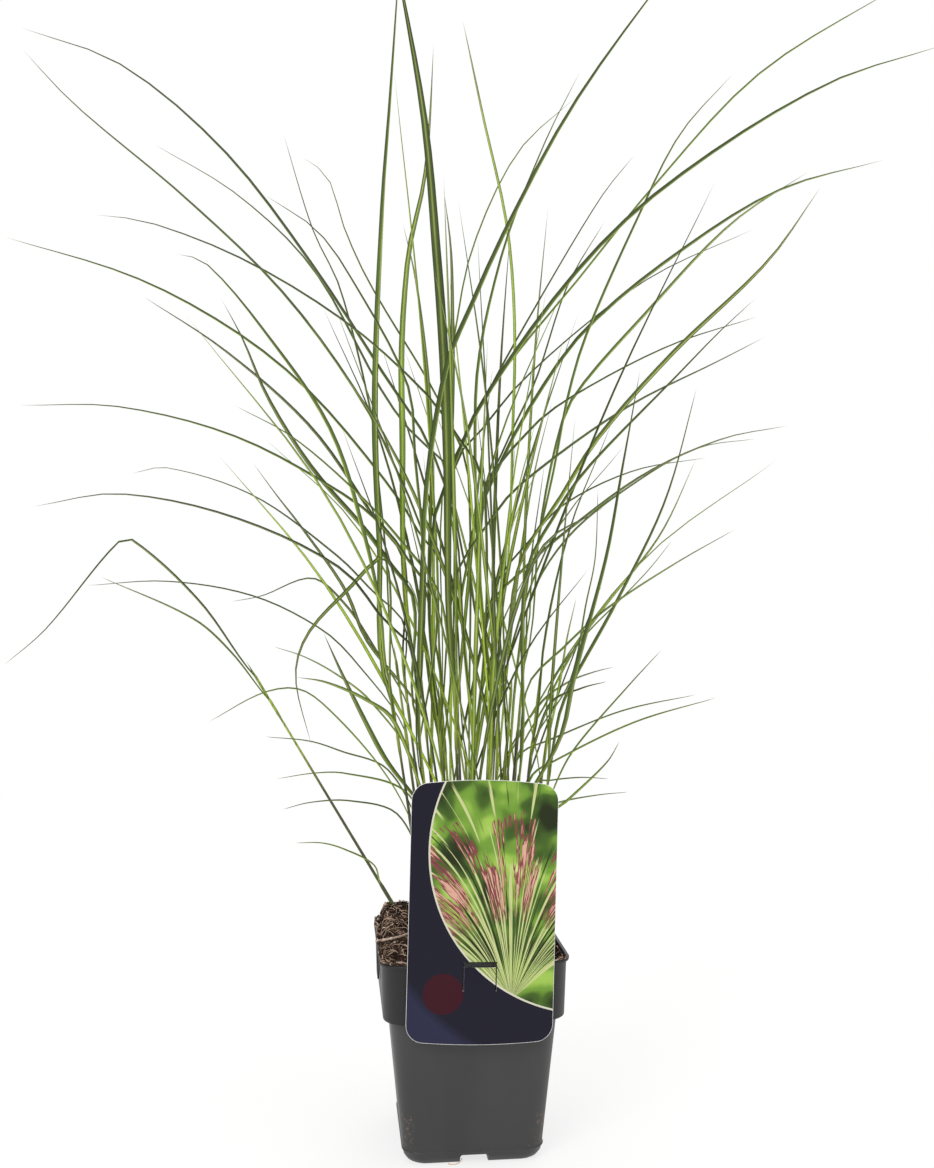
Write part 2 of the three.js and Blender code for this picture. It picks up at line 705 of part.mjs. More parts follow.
function swings(step) {
  const list = [0];
  for (let i = 1; i <= swingCount; i += 1) {
    list.push(i * step, -i * step);
  }
  return list;
}

function growLongLeaves(tillers) {
  for (const leaf of longLeaves) {
    const twist = [draw(...turnAtRoot), draw(...turnOverLength)];
    const hosts = leaf.outer ? [tillers[tillerCount]] : hostsFor(leaf, tillers);
    const courses = hosts.flatMap((tiller) => (
      swings(depthSwing).map((swing) => ({ tiller, leaf: longLeaf(leaf, tiller, twist, swing) }))
    ));
    growLeaf(courses);
  }
}

function growMiddle(tillers) {
  for (const tiller of tillers.slice(0, tillerCount)) {
    const wanted = leavesPerTiller - tiller.leaves;
    const front = tiller.away < clumpAway ? -1 : 1;
    for (let i = 0; i < wanted; i += 1) {
      const facing = i % 2 === 0 ? front : -front;
      const far = draw(0, 1) < farShare;
      const turn = (facing * Math.PI) / 2 + draw(-1, 1) * (far ? farFan : middleFan);
      const bend = draw(0, 1);
      const level = (i + draw(...levelJitter)) / wanted;
      const leaf = {
        start: tiller.height * (middleStarts[0] + (middleStarts[1] - middleStarts[0]) * level),
        lean: draw(...middleLeans),
        droop: middleDroop + (far ? farDroop : 0) + middleBend * bend * bend,
        length: draw(...middleLengths) + (far ? farLength : 0),
        width: draw(...middleWidths),
        twist: [draw(...turnAtRoot), draw(...turnOverLength)],
      };
      growLeaf(swings(turnSwing).map((swing) => ({ tiller, leaf: arching(tiller, leaf, turn + swing) })));
    }
  }
}

// Finishes
const finishes = {
  pot: { color: 0x4a4b4a, roughness: 0.6 },
  soil: { color: 0x4a3428, roughness: 1 },
  label: { color: 0x2b2b44, roughness: 0.35 },
  deadStem: { color: 0xb79f86, roughness: 0.9 },
  leaf: { color: 0x6f9135, roughness: 0.6 },
};

const part = new THREE.Group();

function addPiece(name, geometry, finish) {
  const mesh = new THREE.Mesh(geometry, new THREE.MeshStandardMaterial(finish));
  mesh.name = name;
  part.add(mesh);
}

// Build
const tillers = makeTillers();
const pot = potSolid();
const soil = soilSolid(tillers);
const label = labelGeometry();
const deadStem = deadStemGeometry();
place(pot, "pot");
place(soil, "soil");
place(solidOf(label), "label");
place(solidOf(deadStem), "dead_stem");
for (const tiller of tillers) {
  tiller.solid = stemSolid(tiller);
  place(tiller.solid, tiller);
}
growLongLeaves(tillers);
growMiddle(tillers);

addPiece("pot", geometryOf(pot), finishes.pot);
addPiece("soil", geometryOf(soil), finishes.soil);
addPiece("label", label, finishes.label);
addPiece("dead_stem", deadStem, finishes.deadStem);
tillers.forEach((tiller, i) => {
  addPiece(`tiller_${String(i + 1).padStart(2, "0")}`, geometryOf(tiller.solid), finishes.leaf);
});

export default part;
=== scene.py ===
# Maiden grass in a square nursery pot with a hang label: its finishes, its light and its camera
import math
import random

import bpy
from mathutils import Matrix, Quaternion, Vector
from mathutils.bvhtree import BVHTree
from mathutils.kdtree import KDTree


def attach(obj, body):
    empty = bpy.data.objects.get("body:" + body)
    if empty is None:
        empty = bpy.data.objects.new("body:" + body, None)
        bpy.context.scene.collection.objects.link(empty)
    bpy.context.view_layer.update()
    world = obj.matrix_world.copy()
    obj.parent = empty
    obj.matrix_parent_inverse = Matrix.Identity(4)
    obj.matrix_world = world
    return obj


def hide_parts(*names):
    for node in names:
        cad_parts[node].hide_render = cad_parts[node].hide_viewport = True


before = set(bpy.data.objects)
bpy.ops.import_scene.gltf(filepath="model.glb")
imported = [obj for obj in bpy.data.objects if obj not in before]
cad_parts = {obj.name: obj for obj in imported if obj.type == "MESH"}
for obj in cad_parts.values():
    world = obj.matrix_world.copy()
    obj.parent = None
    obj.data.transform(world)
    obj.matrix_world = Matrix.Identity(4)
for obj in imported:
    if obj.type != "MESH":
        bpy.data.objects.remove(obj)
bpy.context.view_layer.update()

mm = 0.001
slack = 0.1     # mm, for points that are picked out by their place
up = Vector((0, 0, 1))


def deselectAll():
    bpy.ops.object.select_all(action="DESELECT")


def activate(obj):
    deselectAll()
    obj.select_set(True)
    bpy.context.view_layer.objects.active = obj


def editMode(select="DESELECT"):
    bpy.ops.object.mode_set(mode="EDIT")
    bpy.ops.mesh.select_all(action=select)


def objectMode():
    bpy.ops.object.mode_set(mode="OBJECT")


# turns the faces of the edited mesh outwards and leaves edit mode
def faceOutwards():
    bpy.ops.mesh.select_all(action="SELECT")
    bpy.ops.mesh.normals_make_consistent(inside=False)
    objectMode()


def named(name):
    obj = bpy.context.active_object
    obj.name = name
    obj.data.name = name
    return obj


def joined(objects, name):
    activate(objects[0])
    if len(objects) == 1:
        return named(name)
    for obj in objects:
        obj.select_set(True)
    bpy.ops.object.join()
    return named(name)


def copied(obj):
    twin = obj.copy()
    twin.data = obj.data.copy()
    bpy.context.scene.collection.objects.link(twin)
    return twin


def modify(obj, kind, **settings):
    activate(obj)
    modifier = obj.modifiers.new(kind.title(), kind)
    for key, value in settings.items():
        setattr(modifier, key, value)
    bpy.ops.object.modifier_apply(modifier=modifier.name)


# rounds the edges that are sharper than so many degrees
def roundEdges(obj, width, sharper):
    limit = math.radians(sharper)
    modify(obj, "BEVEL", width=width * mm, segments=2, limit_method="ANGLE", angle_limit=limit)


def cutAway(obj, cutter):
    modify(obj, "BOOLEAN", operation="DIFFERENCE", solver="EXACT", object=cutter)
    bpy.data.objects.remove(cutter)


# puts the piece's place and turn into its mesh, as the nodes have them
def settle(obj):
    activate(obj)
    bpy.ops.object.transform_apply(location=True, rotation=True, scale=True)


def smoothByAngle(obj, degrees):
    activate(obj)
    bpy.ops.object.shade_smooth_by_angle(angle=math.radians(degrees))


# selects the faces or points of the edited mesh whose middle passes a test
def selectWhere(kind, test):
    objectMode()
    mesh = bpy.context.active_object.data
    for polygon in mesh.polygons:
        polygon.select = kind == "FACE" and test(polygon.center, polygon.normal)
    for edge in mesh.edges:
        edge.select = False
    for vertex in mesh.vertices:
        vertex.select = kind == "VERT" and test(vertex.co, vertex.normal)
    bpy.ops.object.mode_set(mode="EDIT")
    bpy.ops.mesh.select_mode(type=kind)


def dress(obj, nodeName, materials):
    for material in materials:
        if material.name not in obj.data.materials:
            obj.data.materials.append(material)
    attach(obj, "root")
    if nodeName:
        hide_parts(nodeName)


# Camera: it stands a little left of the pot's front and looks level at the clump
view = {
    "turn": 6.14,       # degrees to the left of the pot's front
    "distance": 866,    # mm from the pot's axis
    "height": 378,      # mm above the foot
    "lens": 38.8,       # mm
    "sensor": 36,       # mm
    "clip": (0.05, 100),    # m
}


def fromView(across, away, height):
    turn = math.radians(view["turn"])
    x = across * math.cos(turn) + away * math.sin(turn)
    y = away * math.cos(turn) - across * math.sin(turn)
    return Vector((x, y, height))


def seenAt(across, height, away):
    scale = (away + view["distance"]) / view["distance"]
    return fromView(across * scale, away, view["height"] + (height - view["height"]) * scale)


def buildCamera():
    place = fromView(0, -view["distance"], view["height"]) * mm
    bpy.ops.object.camera_add(location=place, rotation=(math.pi / 2, 0, -math.radians(view["turn"])))
    camera = named("camera")
    camera.data.lens = view["lens"]
    camera.data.sensor_width = view["sensor"]
    camera.data.clip_start, camera.data.clip_end = view["clip"]
    bpy.context.scene.camera = camera


# Light: a dim white room, a large soft box overhead, a key from the upper left and a little fill
studio = {
    "white": "#ffffff",
    "roomStrength": 0.62,
    "floor": "#f1f1ef",
    "floorSize": 60,          # m
    "floorFade": (0.45, 1.6),     # m from the pot
    "floorGlow": 0.75,        # close to the pot, so that its shadow stays faint
    "backdrop": 15,           # radius, m
    "aim": (0, 0, 0.35),      # what the lights point at, m
    "lights": [
        # name, place in m, size in m, watts
        ("overheadBox", (0.1, -0.2, 2.9), 2.0, 32),
        ("keyLight", (-1.5, -2.0, 2.0), 1.2, 38),
        ("fillLight", (2.2, -1.6, 1.0), 1.8, 10),
        ("backLight", (0.8, 2.0, 1.6), 1.6, 12),
    ],
}


def buildStudio():
    scene = bpy.context.scene
    scene.view_settings.view_transform = "Standard"
    world = bpy.data.worlds.new("whiteRoom")
    world.use_nodes = True
    fill(world.node_tree.nodes["Background"], {
        "Color": linear(studio["white"]), "Strength": studio["roomStrength"],
    })
    scene.world = world
    for name, place, size, power in studio["lights"]:
        way = Vector(studio["aim"]) - Vector(place)
        turn = way.to_track_quat("-Z", "Y").to_euler()
        bpy.ops.object.light_add(type="AREA", location=place, rotation=turn)
        light = bpy.context.active_object
        light.name = name
        light.data.size = size
        light.data.energy = power
    deselectAll()
    bpy.ops.mesh.primitive_plane_add(size=studio["floorSize"], location=(0, 0, 0))
    floor = named("floor")
    material, add, shader = newMaterial("paleStudioFloor", {
        "Base Color": linear(studio["floor"]), "Roughness": 0.8, "Specular IOR Level": 0.2,
    })
    # further off, the floor glows as white as the backdrop, so no horizon shows
    place = add("TexCoord").outputs["Object"]
    far = add("VectorMath", {0: place}, "LENGTH")
    glow = add("MapRange", {"Value": far, "From": studio["floorFade"], "To Min": studio["floorGlow"]})
    white = add("Emission", {"Color": linear(studio["white"])})
    both = add("MixShader", {0: glow, 1: shader, 2: white})
    fill(material.node_tree.nodes["Material Output"], {"Surface": both})
    floor.data.materials.append(material)
    # the backdrop is seen, but lights nothing
    deselectAll()
    bpy.ops.mesh.primitive_cylinder_add(radius=studio["backdrop"], depth=2 * studio["backdrop"])
    backdrop = named("backdrop")
    material, add, _ = newMaterial("whiteBackdrop", {})
    white = add("Emission", {"Color": linear(studio["white"])})
    fill(material.node_tree.nodes["Material Output"], {"Surface": white})
    backdrop.data.materials.append(material)
    for ray in ("diffuse", "glossy", "transmission", "volume_scatter", "shadow"):
        setattr(backdrop, "visible_" + ray, False)


def linear(hexColour):
    channels = [int(hexColour[i:i + 2], 16) / 255 for i in (1, 3, 5)]
    curved = [c / 12.92 if c <= 0.04045 else ((c + 0.055) / 1.055) ** 2.4 for c in channels]
    return (*curved, 1)


def inUse(sockets, name=None):
    return next(socket for socket in sockets if socket.enabled and name in (None, socket.name))


# puts a value, a node or one of its outputs into each named socket of a node
def fill(node, inputs):
    for key, value in inputs.items():
        if key in ("From", "To"):
            # both ends of a range
            fill(node, {key + " Min": value[0], key + " Max": value[1]})
            continue
        # several sockets can share a name, but only one of them is in use
        socket = node.inputs[key] if isinstance(key, int) else inUse(node.inputs, key)
        if isinstance(value, bpy.types.Node):
            value = inUse(value.outputs)
        if isinstance(value, bpy.types.NodeSocket):
            node.id_data.links.new(value, socket)
        else:
            socket.default_value = value


# a material named for the real one, with what is the same all over its surface, and the function
# that adds a node to it with its settings and links
def newMaterial(name, sockets):
    material = bpy.data.materials.new(name)
    material.use_nodes = True
    shader = material.node_tree.nodes["Principled BSDF"]
    fill(shader, sockets)

    def add(kind, inputs=None, operation=None, **settings):
        node = material.node_tree.nodes.new("ShaderNode" + kind)
        if operation:
            node.operation = operation
        for key, value in settings.items():
            setattr(node, key, value)
        fill(node, inputs or {})
        return node
    return material, add, shader


# a colour ramp's stops, from left to right: where each one is, and its colour
def setStops(node, stops):
    elements = node.color_ramp.elements
    while len(elements) < len(stops):
        elements.new(0.5)
    for element, (at, colour) in zip(elements, stops):
        element.position = at
        element.color = linear(colour)


# noise of a real size: a feature of so many millimetres
def perMetre(size):
    return 1 / (size * mm)


def inMetres(sizes):
    return [size * mm for size in sizes]


# a material whose colour follows a noise of real size, with a relief of the same noise where given
def mottled(name, sockets, noise, stops, relief=None):
    material, add, shader = newMaterial(name, sockets)
    place = add("TexCoord").outputs["Object"]
    clouds = add("TexNoise", {"Vector": place, **noise})
    colour = add("ValToRGB", {"Fac": clouds})
    setStops(colour, stops)
    fill(shader, {"Base Color": colour})
    if relief:
        fill(shader, {"Normal": add("Bump", {"Height": clouds, **relief})})
    return material


# Potting soil: damp peat and composted bark, dark brown and dull, with paler dry crumbs
def pottingSoil():
    return mottled(
        "dampPeat", {"Roughness": 0.95, "Specular IOR Level": 0.15},
        {"Scale": perMetre(4), "Detail": 8, "Roughness": 0.65},
        ((0.36, "#120c09"), (0.5, "#261a14"), (0.66, "#4d3a2f")),
        {"Strength": 0.8, "Distance": 1.2 * mm},
    )


# Dry stem: last year's culm, bleached straw with long grain and grey spots
def bleachedStraw():
    return mottled(
        "bleachedStraw", {"Roughness": 0.75, "Specular IOR Level": 0.3},
        {"Scale": perMetre(3), "Detail": 5}, ((0.35, "#786458"), (0.6, "#c2ad9b")),
    )


# Label core: white polystyrene film, satin, seen at the cut edges and on the back
def whiteFilm():
    return mottled(
        "whitePolystyreneFilm", {"Roughness": 0.4},
        {"Scale": perMetre(20), "Detail": 2}, ((0, "#dcdcd6"), (1, "#f2f2ee")),
    )


# Pot plastic: injection-moulded polypropylene with carbon black, satin charcoal, dusty low down
def pottingPlastic():
    material, add, shader = newMaterial("mouldedPolypropylene", {"IOR": 1.49, "Specular IOR Level": 0.4})
    place = add("TexCoord").outputs["Object"]
    height = add("SeparateXYZ", {"Vector": place}).outputs["Z"]
    # flow marks of the moulding: soft clouds about 40 mm wide, drawn out upwards
    stretched = add("Mapping", {"Vector": place, "Scale": (1, 1, 0.35)})
    clouds = add("TexNoise", {"Vector": stretched, "Scale": perMetre(40), "Detail": 3})
    plastic = add("ValToRGB", {"Fac": clouds})
    setStops(plastic, ((0.3, "#303031"), (0.75, "#3a3a3a")))
    # painted shade: the band is coloured darker than the body, standing in for the shade that falls on it
    bandShade = add("MapRange", {"Value": height, "From": inMetres(pot["step"])})
    plastic = add("Mix", {"Factor": bandShade, "A": plastic, "B": linear("#18181a")}, data_type="RGBA")
    # crumbs of dry soil, 1 mm across, that stick to the lower corners
    specks = add("TexNoise", {"Vector": place, "Scale": perMetre(2.4), "Detail": 6, "Roughness": 0.75})
    low = add("MapRange", {"Value": height, "From": inMetres(pot["dustHeights"]), "To Max": 0.8})
    toSides = add("VectorMath", {0: place}, "ABSOLUTE")
    toSides = add("SeparateXYZ", {"Vector": toSides}).outputs
    inward = add("Math", {0: toSides["X"], 1: toSides["Y"]}, "MINIMUM")
    atCorner = add("MapRange", {"Value": inward, "From": inMetres(pot["dustInward"]), "To": (0.62, 1.2)})
    dusty = add("Math", {0: specks, 1: low}, "MULTIPLY")
    dusty = add("Math", {0: dusty, 1: atCorner}, "MULTIPLY")
    dust = add("MapRange", {"Value": dusty, "From": (0.5, 0.6), "To Max": 0.6})
    colour = add("Mix", {"Factor": dust, "A": plastic, "B": linear("#7d6450")}, data_type="RGBA")
    gloss = add("MapRange", {"Value": clouds, "To": (0.38, 0.52)})
    # spark-eroded mould texture, drawn at 0.9 mm so that it shows
    grain = add("TexNoise", {"Vector": place, "Scale": perMetre(0.9), "Detail": 2})
    bump = add("Bump", {"Height": grain, "Strength": 0.12, "Distance": 0.2 * mm})
    fill(shader, {"Base Color": colour, "Roughness": gloss, "Normal": bump})
    return material


# Bark crumbs and coir: each bit has its own brown, from wet bark to dry coconut fibre
def looseBits():
    material, add, shader = newMaterial("barkAndCoir", {"Roughness": 0.9, "Specular IOR Level": 0.2})
    tone = add("Attribute", attribute_name="bitTone")
    colour = add("ValToRGB", {"Fac": tone.outputs["Fac"]})
    setStops(colour, ((0, "#120a06"), (0.55, "#4b3529"), (1, "#d8bca4")))
    place = add("TexCoord").outputs["Object"]
    streaks = add("TexNoise", {"Vector": place, "Scale": perMetre(1.5), "Detail": 3})
    shade = add("MapRange", {"Value": streaks, "To": (0.6, 1.3)})
    mixed = add("VectorMath", {0: colour, 1: shade}, "MULTIPLY")
    fill(shader, {"Base Color": mixed})
    return material


# Grass blade: a waxy leaf, olive to lime green with a pale midrib and fine veins, duller below
blade = {
    # colours along the blade, from the sheath to the tip
    "along": ((0, "#9fb53a"), (0.3, "#769428"), (0.86, "#575f34"), (1, "#403c34")),
    "young": "#a9c42f",
    "old": "#1b1e18",        # outer blades turn to this grey olive
    # the underside: the leaf's own duller back, made darker as painted shade
    "underside": "#526634",
    "midrib": "#bccb62",
    "shadedMargin": "#303b18",
    "veins": 7,              # over the blade's width, far fewer than the real ones
}


# what each corner of the grass knows: across, along and side, and its tint and age
def grassPlaces(add):
    return [
        add("SeparateXYZ", {"Vector": add("Attribute", attribute_name=name).outputs["Vector"]}).outputs
        for name in ("bladePlace", "bladeTone")
    ]


def waxyBlade():
    material, add, shader = newMaterial("waxyGrassBlade", {"Specular IOR Level": 0.3})
    (across, along, side), (tint, age, _) = grassPlaces(add)
    length = add("ValToRGB", {"Fac": along})
    setStops(length, blade["along"])
    # the underside gets its own duller green, darkened further as painted shade
    under = add("MapRange", {"Value": side, "To": (0.6, 0)})
    fresh = add("MapRange", {"Value": tint, "From Min": 0.5, "To Max": 0.75})
    # midrib, a pale line over a sixth of the width, and thin darker margins, which are painted shade on the
    # edges of the fold
    fromRib = add("Math", {0: across}, "ABSOLUTE")
    rib = add("MapRange", {"Value": fromRib, "From": (0.16, 0.05), "To Max": 0.6})
    edge = add("MapRange", {"Value": fromRib, "From": (0.28, 0.48), "To Max": 0.8})
    colour = length
    layers = ((fresh, "young"), (age, "old"), (under, "underside"), (rib, "midrib"), (edge, "shadedMargin"))
    for mask, tone in layers:
        colour = add("Mix", {"Factor": mask, "A": colour, "B": linear(blade[tone])}, data_type="RGBA")
    # each blade is darker or lighter than the next, with veins and soft patches of 45 mm
    shade = add("MapRange", {"Value": tint, "From Max": 0.6, "To": (0.42, 1.22)})
    turns = add("Math", {0: across, 1: 2 * math.pi * blade["veins"]}, "MULTIPLY")
    veins = add("Math", {0: turns}, "COSINE")
    lines = add("MapRange", {"Value": veins, "From Min": -1, "To": (0.88, 1.08)})
    spot = add("TexCoord").outputs["Object"]
    patches = add("TexNoise", {"Vector": spot, "Scale": perMetre(45), "Detail": 3})
    light = add("MapRange", {"Value": patches, "From": (0.3, 0.7), "To": (0.8, 1.18)})
    for factor in (shade, lines, light):
        colour = add("VectorMath", {0: colour, 1: factor}, "MULTIPLY")
    gloss = add("MapRange", {"Value": side, "To": (0.62, 0.46)})
    bump = add("Bump", {"Height": veins, "Strength": 0.25, "Distance": 0.1 * mm})
    fill(shader, {"Base Color": colour, "Roughness": gloss, "Normal": bump})
    return material


# Leaf sheath: the rolled leaf bases that make the stem, dull brown at the foot, streaked with green
sheath = {
    "along": ((0, "#4f4a33"), (0.28, "#4f4a33"), (0.5, "#a4b544"), (1, "#88a231")),
    "streak": "#4f6420",
}


def rolledSheath():
    material, add, shader = newMaterial("rolledLeafSheath", {"Roughness": 0.45, "Specular IOR Level": 0.45})
    (_, along, _), (tint, _, _) = grassPlaces(add)
    length = add("ValToRGB", {"Fac": along})
    setStops(length, sheath["along"])
    spot = add("TexCoord").outputs["Object"]
    # streaks about 1 mm wide and some 60 mm long
    drawn = add("Mapping", {"Vector": spot, "Scale": (1, 1, 0.02)})
    streaks = add("TexNoise", {"Vector": drawn, "Scale": perMetre(1.6), "Detail": 2})
    mask = add("MapRange", {"Value": streaks, "From": (0.45, 0.62), "To Max": 0.8})
    streaked = add("Mix", {"Factor": mask, "A": length, "B": linear(sheath["streak"])}, data_type="RGBA")
    shade = add("MapRange", {"Value": tint, "To": (0.7, 1.15)})
    colour = add("VectorMath", {0: streaked, 1: shade}, "MULTIPLY")
    bump = add("Bump", {"Height": streaks, "Strength": 0.3, "Distance": 0.2 * mm})
    fill(shader, {"Base Color": colour, "Normal": bump})
    return material


# Label: a film plate with round corners, hung on the front ledge by a slot above a cut tongue
label = {
    "size": (94.5, 169),
    "thickness": 0.6,
    "border": 0.2,       # the bare film round its print
    "edgeRound": 0.25,
    "corner": 11.5,
    "cornerSteps": 8,
    "edgeCuts": 11,      # points added along its top and bottom edges, for their bow
    "bow": {1: 2, -1: 1.5},   # the ends of its top and bottom edges lie so much nearer its middle
    "middle": (3.2, 168.4),
    "back": -62.8,       # its back face stands just clear of the rim
    "lean": 1.5,         # degrees, top to the right
    "slotMiddle": (-0.7, -33.4),
    "slotSize": (21.9, 3.6),
    "tongueHeight": 15,
    "tongueCut": 0.8,
}

# its print, in mm from the middle: blurred greens behind a fan of grass, a navy sweep, a wine-red dot
labelPrint = {
    "blobs": 30,
    "greens": ((0.33, "#232c14"), (0.43, "#405c22"), (0.52, "#6d9436"), (0.62, "#98bb50"), (0.74, "#cfd68e")),
    "sweepMiddle": (70, 40),
    "sweepRadius": 105,
    "line": 0.6,             # half the width of the pale line along it
    "sheenSpan": (142, 148),     # from its middle, where its lighter corner starts
    "dotMiddle": (-24, -52),
    "dotRadius": 13,
    "fanFoot": (20, -56),
    "fanHalf": 0.85,         # radians to either side
    "fanReach": 122,
    "fanBend": 0.7,
    "headSpan": (0.4, 1),    # where the seed heads stand, as shares of the reach
    "headLevels": (0.56, 0.68),
    # strokes along the fan: how many to the radian, and to its reach
    "strokes": {"blades": (46, 1.3), "hairs": (110, 7), "heads": (9, 1.4)},
    "inks": {
        "shadow": "#252d15", "blade": "#bfc588", "plume": "#7e4143", "plumeTip": "#d3a28e",
        "navy": "#171625", "sheen": "#272740", "line": "#cdcab6", "wine": "#380a19",
    },
}


# Label print: a satin laminate over ink on the film, so it is bright with a soft even sheen
def laminatedPrint():
    material, add, shader = newMaterial("laminatedLabelPrint", {
        "Roughness": 0.4, "Specular IOR Level": 0.14, "Coat Weight": 0.04, "Coat Roughness": 0.2,
    })
    place = add("TexCoord").outputs["Object"]
    middle = (label["middle"][0] * mm, 0, label["middle"][1] * mm)
    flat = add("Mapping", {
        "Vector": place, "Location": middle, "Rotation": (0, math.radians(label["lean"]), 0),
    }, vector_type="TEXTURE")
    sized = add("VectorMath", {0: flat, "Scale": 1 / mm}, "SCALE")
    x, _, z = add("SeparateXYZ", {"Vector": sized}).outputs
    on = add("CombineXYZ", {"X": x, "Y": z})
    fromSweep, fromFoot, fromDot = [
        add("VectorMath", {0: on, 1: (*labelPrint[point], 0)}, "DISTANCE")
        for point in ("sweepMiddle", "fanFoot", "dotMiddle")
    ]
    blobs = add("TexNoise", {"Vector": place, "Scale": perMetre(labelPrint["blobs"]), "Detail": 2})
    colour = add("ValToRGB", {"Fac": blobs})
    colour.color_ramp.interpolation = "EASE"
    setStops(colour, labelPrint["greens"])

    # the fan's strokes bend outwards, and each is known by its angle at the foot
    aside, above = [
        add("Math", {0: way, 1: foot}, "SUBTRACT")
        for way, foot in zip((x, z), labelPrint["fanFoot"])
    ]
    angle = add("Math", {0: aside, 1: above}, "ARCTAN2")
    share = add("Math", {0: fromFoot, 1: labelPrint["fanReach"]}, "DIVIDE")
    curve = add("Math", {0: share, 1: 2}, "POWER")
    spread = add("Math", {0: curve, 1: labelPrint["fanBend"], 2: 1}, "MULTIPLY_ADD")
    footAngle = add("Math", {0: angle, 1: spread}, "DIVIDE")
    turned = add("Math", {0: footAngle}, "ABSOLUTE")
    inFan = add("Math", {0: turned, 1: labelPrint["fanHalf"]}, "LESS_THAN")
    polar = add("CombineXYZ", {"X": footAngle, "Y": share})
    blades, hairs, heads = [
        add("TexNoise", {
            "Vector": add("Mapping", {"Vector": polar, "Scale": (*counts, 1)}),
            "Scale": 1, "Detail": 2,
        }) for counts in labelPrint["strokes"].values()
    ]
    # blades thin out towards the fan's edge, pale ones in front of dark ones
    onBlade, inShadow = [
        add("MapRange", {
            "Value": add("Math", {0: share, 1: thinning, 2: blades}, "MULTIPLY_ADD"),
            "From": (0.47, full),
        }) for thinning, full in ((-0.13, 0.5), (0.12, 0.44))
    ]
    # seed heads, loose tufts of fine hairs that swell and end in a point
    swell = add("MapRange", {"Value": share, "From": labelPrint["headSpan"], "To Max": math.pi})
    swell = add("Math", {0: swell}, "SINE")
    tuft = add("MapRange", {"Value": heads, "From": (0.47, 0.6)})
    tuft = add("Math", {0: tuft, 1: swell}, "MULTIPLY")
    dense = add("Math", {0: tuft, 1: 0.24, 2: hairs}, "MULTIPLY_ADD")
    inTuft = add("Math", {0: tuft, 1: 0.04}, "GREATER_THAN")
    onHead, onTip = [
        add("MapRange", {"Value": dense, "From": (level, level + 0.03)})
        for level in labelPrint["headLevels"]
    ]
    onHead, onTip, onBlade, inShadow = [
        add("Math", {0: mask, 1: room}, "MULTIPLY")
        for mask, room in ((onHead, inTuft), (onTip, inTuft), (onBlade, inFan), (inShadow, inFan))
    ]

    radius = labelPrint["sweepRadius"]
    inSweep = add("Math", {0: fromSweep, 1: radius}, "GREATER_THAN")
    onLine = add("Math", {0: fromSweep, 1: radius, 2: labelPrint["line"]}, "COMPARE")
    sheen = add("MapRange", {"Value": fromSweep, "From": labelPrint["sheenSpan"]})
    inDot = add("Math", {0: fromDot, 1: labelPrint["dotRadius"]}, "LESS_THAN")
    masks = (inShadow, onBlade, onHead, onTip, inSweep, sheen, onLine, inDot)
    for mask, ink in zip(masks, labelPrint["inks"].values()):
        colour = add("Mix", {"Factor": mask, "A": colour, "B": linear(ink)}, data_type="RGBA")
    fill(shader, {"Base Color": colour})
    return material


def boxBetween(low, high):
    middle = [(a + b) / 2 * mm for a, b in zip(low, high)]
    deselectAll()
    bpy.ops.mesh.primitive_cube_add(size=1, location=middle)
    box = bpy.context.active_object
    box.scale = [(b - a) * mm for a, b in zip(low, high)]
    settle(box)
    return box


def buildLabel():
    width, height = label["size"]
    deselectAll()
    bpy.ops.mesh.primitive_plane_add(size=1, rotation=(math.pi / 2, 0, 0))
    plate = named("hang_label")
    plate.scale = (width * mm, height * mm, 1)
    settle(plate)
    editMode("SELECT")
    bpy.ops.mesh.bevel(affect="VERTICES", offset=label["corner"] * mm, segments=label["cornerSteps"])
    for edge in (1, -1):
        selectWhere("VERT", lambda co, normal: co.z * edge > (height / 2 - slack) * mm)
        bpy.ops.mesh.select_mode(type="EDGE")
        bpy.ops.mesh.subdivide(number_cuts=label["edgeCuts"])
    objectMode()
    straight = width / 2 - label["corner"]
    for vertex in plate.data.vertices:
        edge = math.copysign(1, vertex.co.z)
        if abs(vertex.co.z) > (height / 2 - label["corner"] - slack) * mm:
            out = min(abs(vertex.co.x) / mm / straight, 1)
            vertex.co.z -= edge * label["bow"][edge] * mm * out ** 2
    editMode("SELECT")
    bpy.ops.mesh.extrude_region_move(TRANSFORM_OT_translate={"value": (0, label["thickness"] * mm, 0)})
    faceOutwards()
    dress(plate, "label", [whiteFilm(), laminatedPrint()])
    selectWhere("FACE", lambda co, normal: normal.y < -0.9)
    bpy.ops.mesh.inset(thickness=label["border"] * mm)
    plate.active_material_index = 1
    bpy.ops.object.material_slot_assign()
    objectMode()
    middle, drop = label["slotMiddle"]
    half = label["slotSize"][0] / 2
    top = drop + label["slotSize"][1] / 2
    low = drop - label["slotSize"][1] / 2
    foot = low - label["tongueHeight"]
    cut = label["tongueCut"]
    for left, right, under in (
        (middle - half, middle + half, low),
        (middle - half, middle - half + cut, foot),
        (middle + half - cut, middle + half, foot),
    ):
        cutAway(plate, boxBetween((left, -1, under), (right, 2, top)))
    roundEdges(plate, label["edgeRound"], 60)
    plate.rotation_euler = (0, math.radians(label["lean"]), 0)
    front = label["back"] - label["thickness"]
    plate.location = (label["middle"][0] * mm, front * mm, label["middle"][1] * mm)
    settle(plate)
    smoothByAngle(plate, 40)


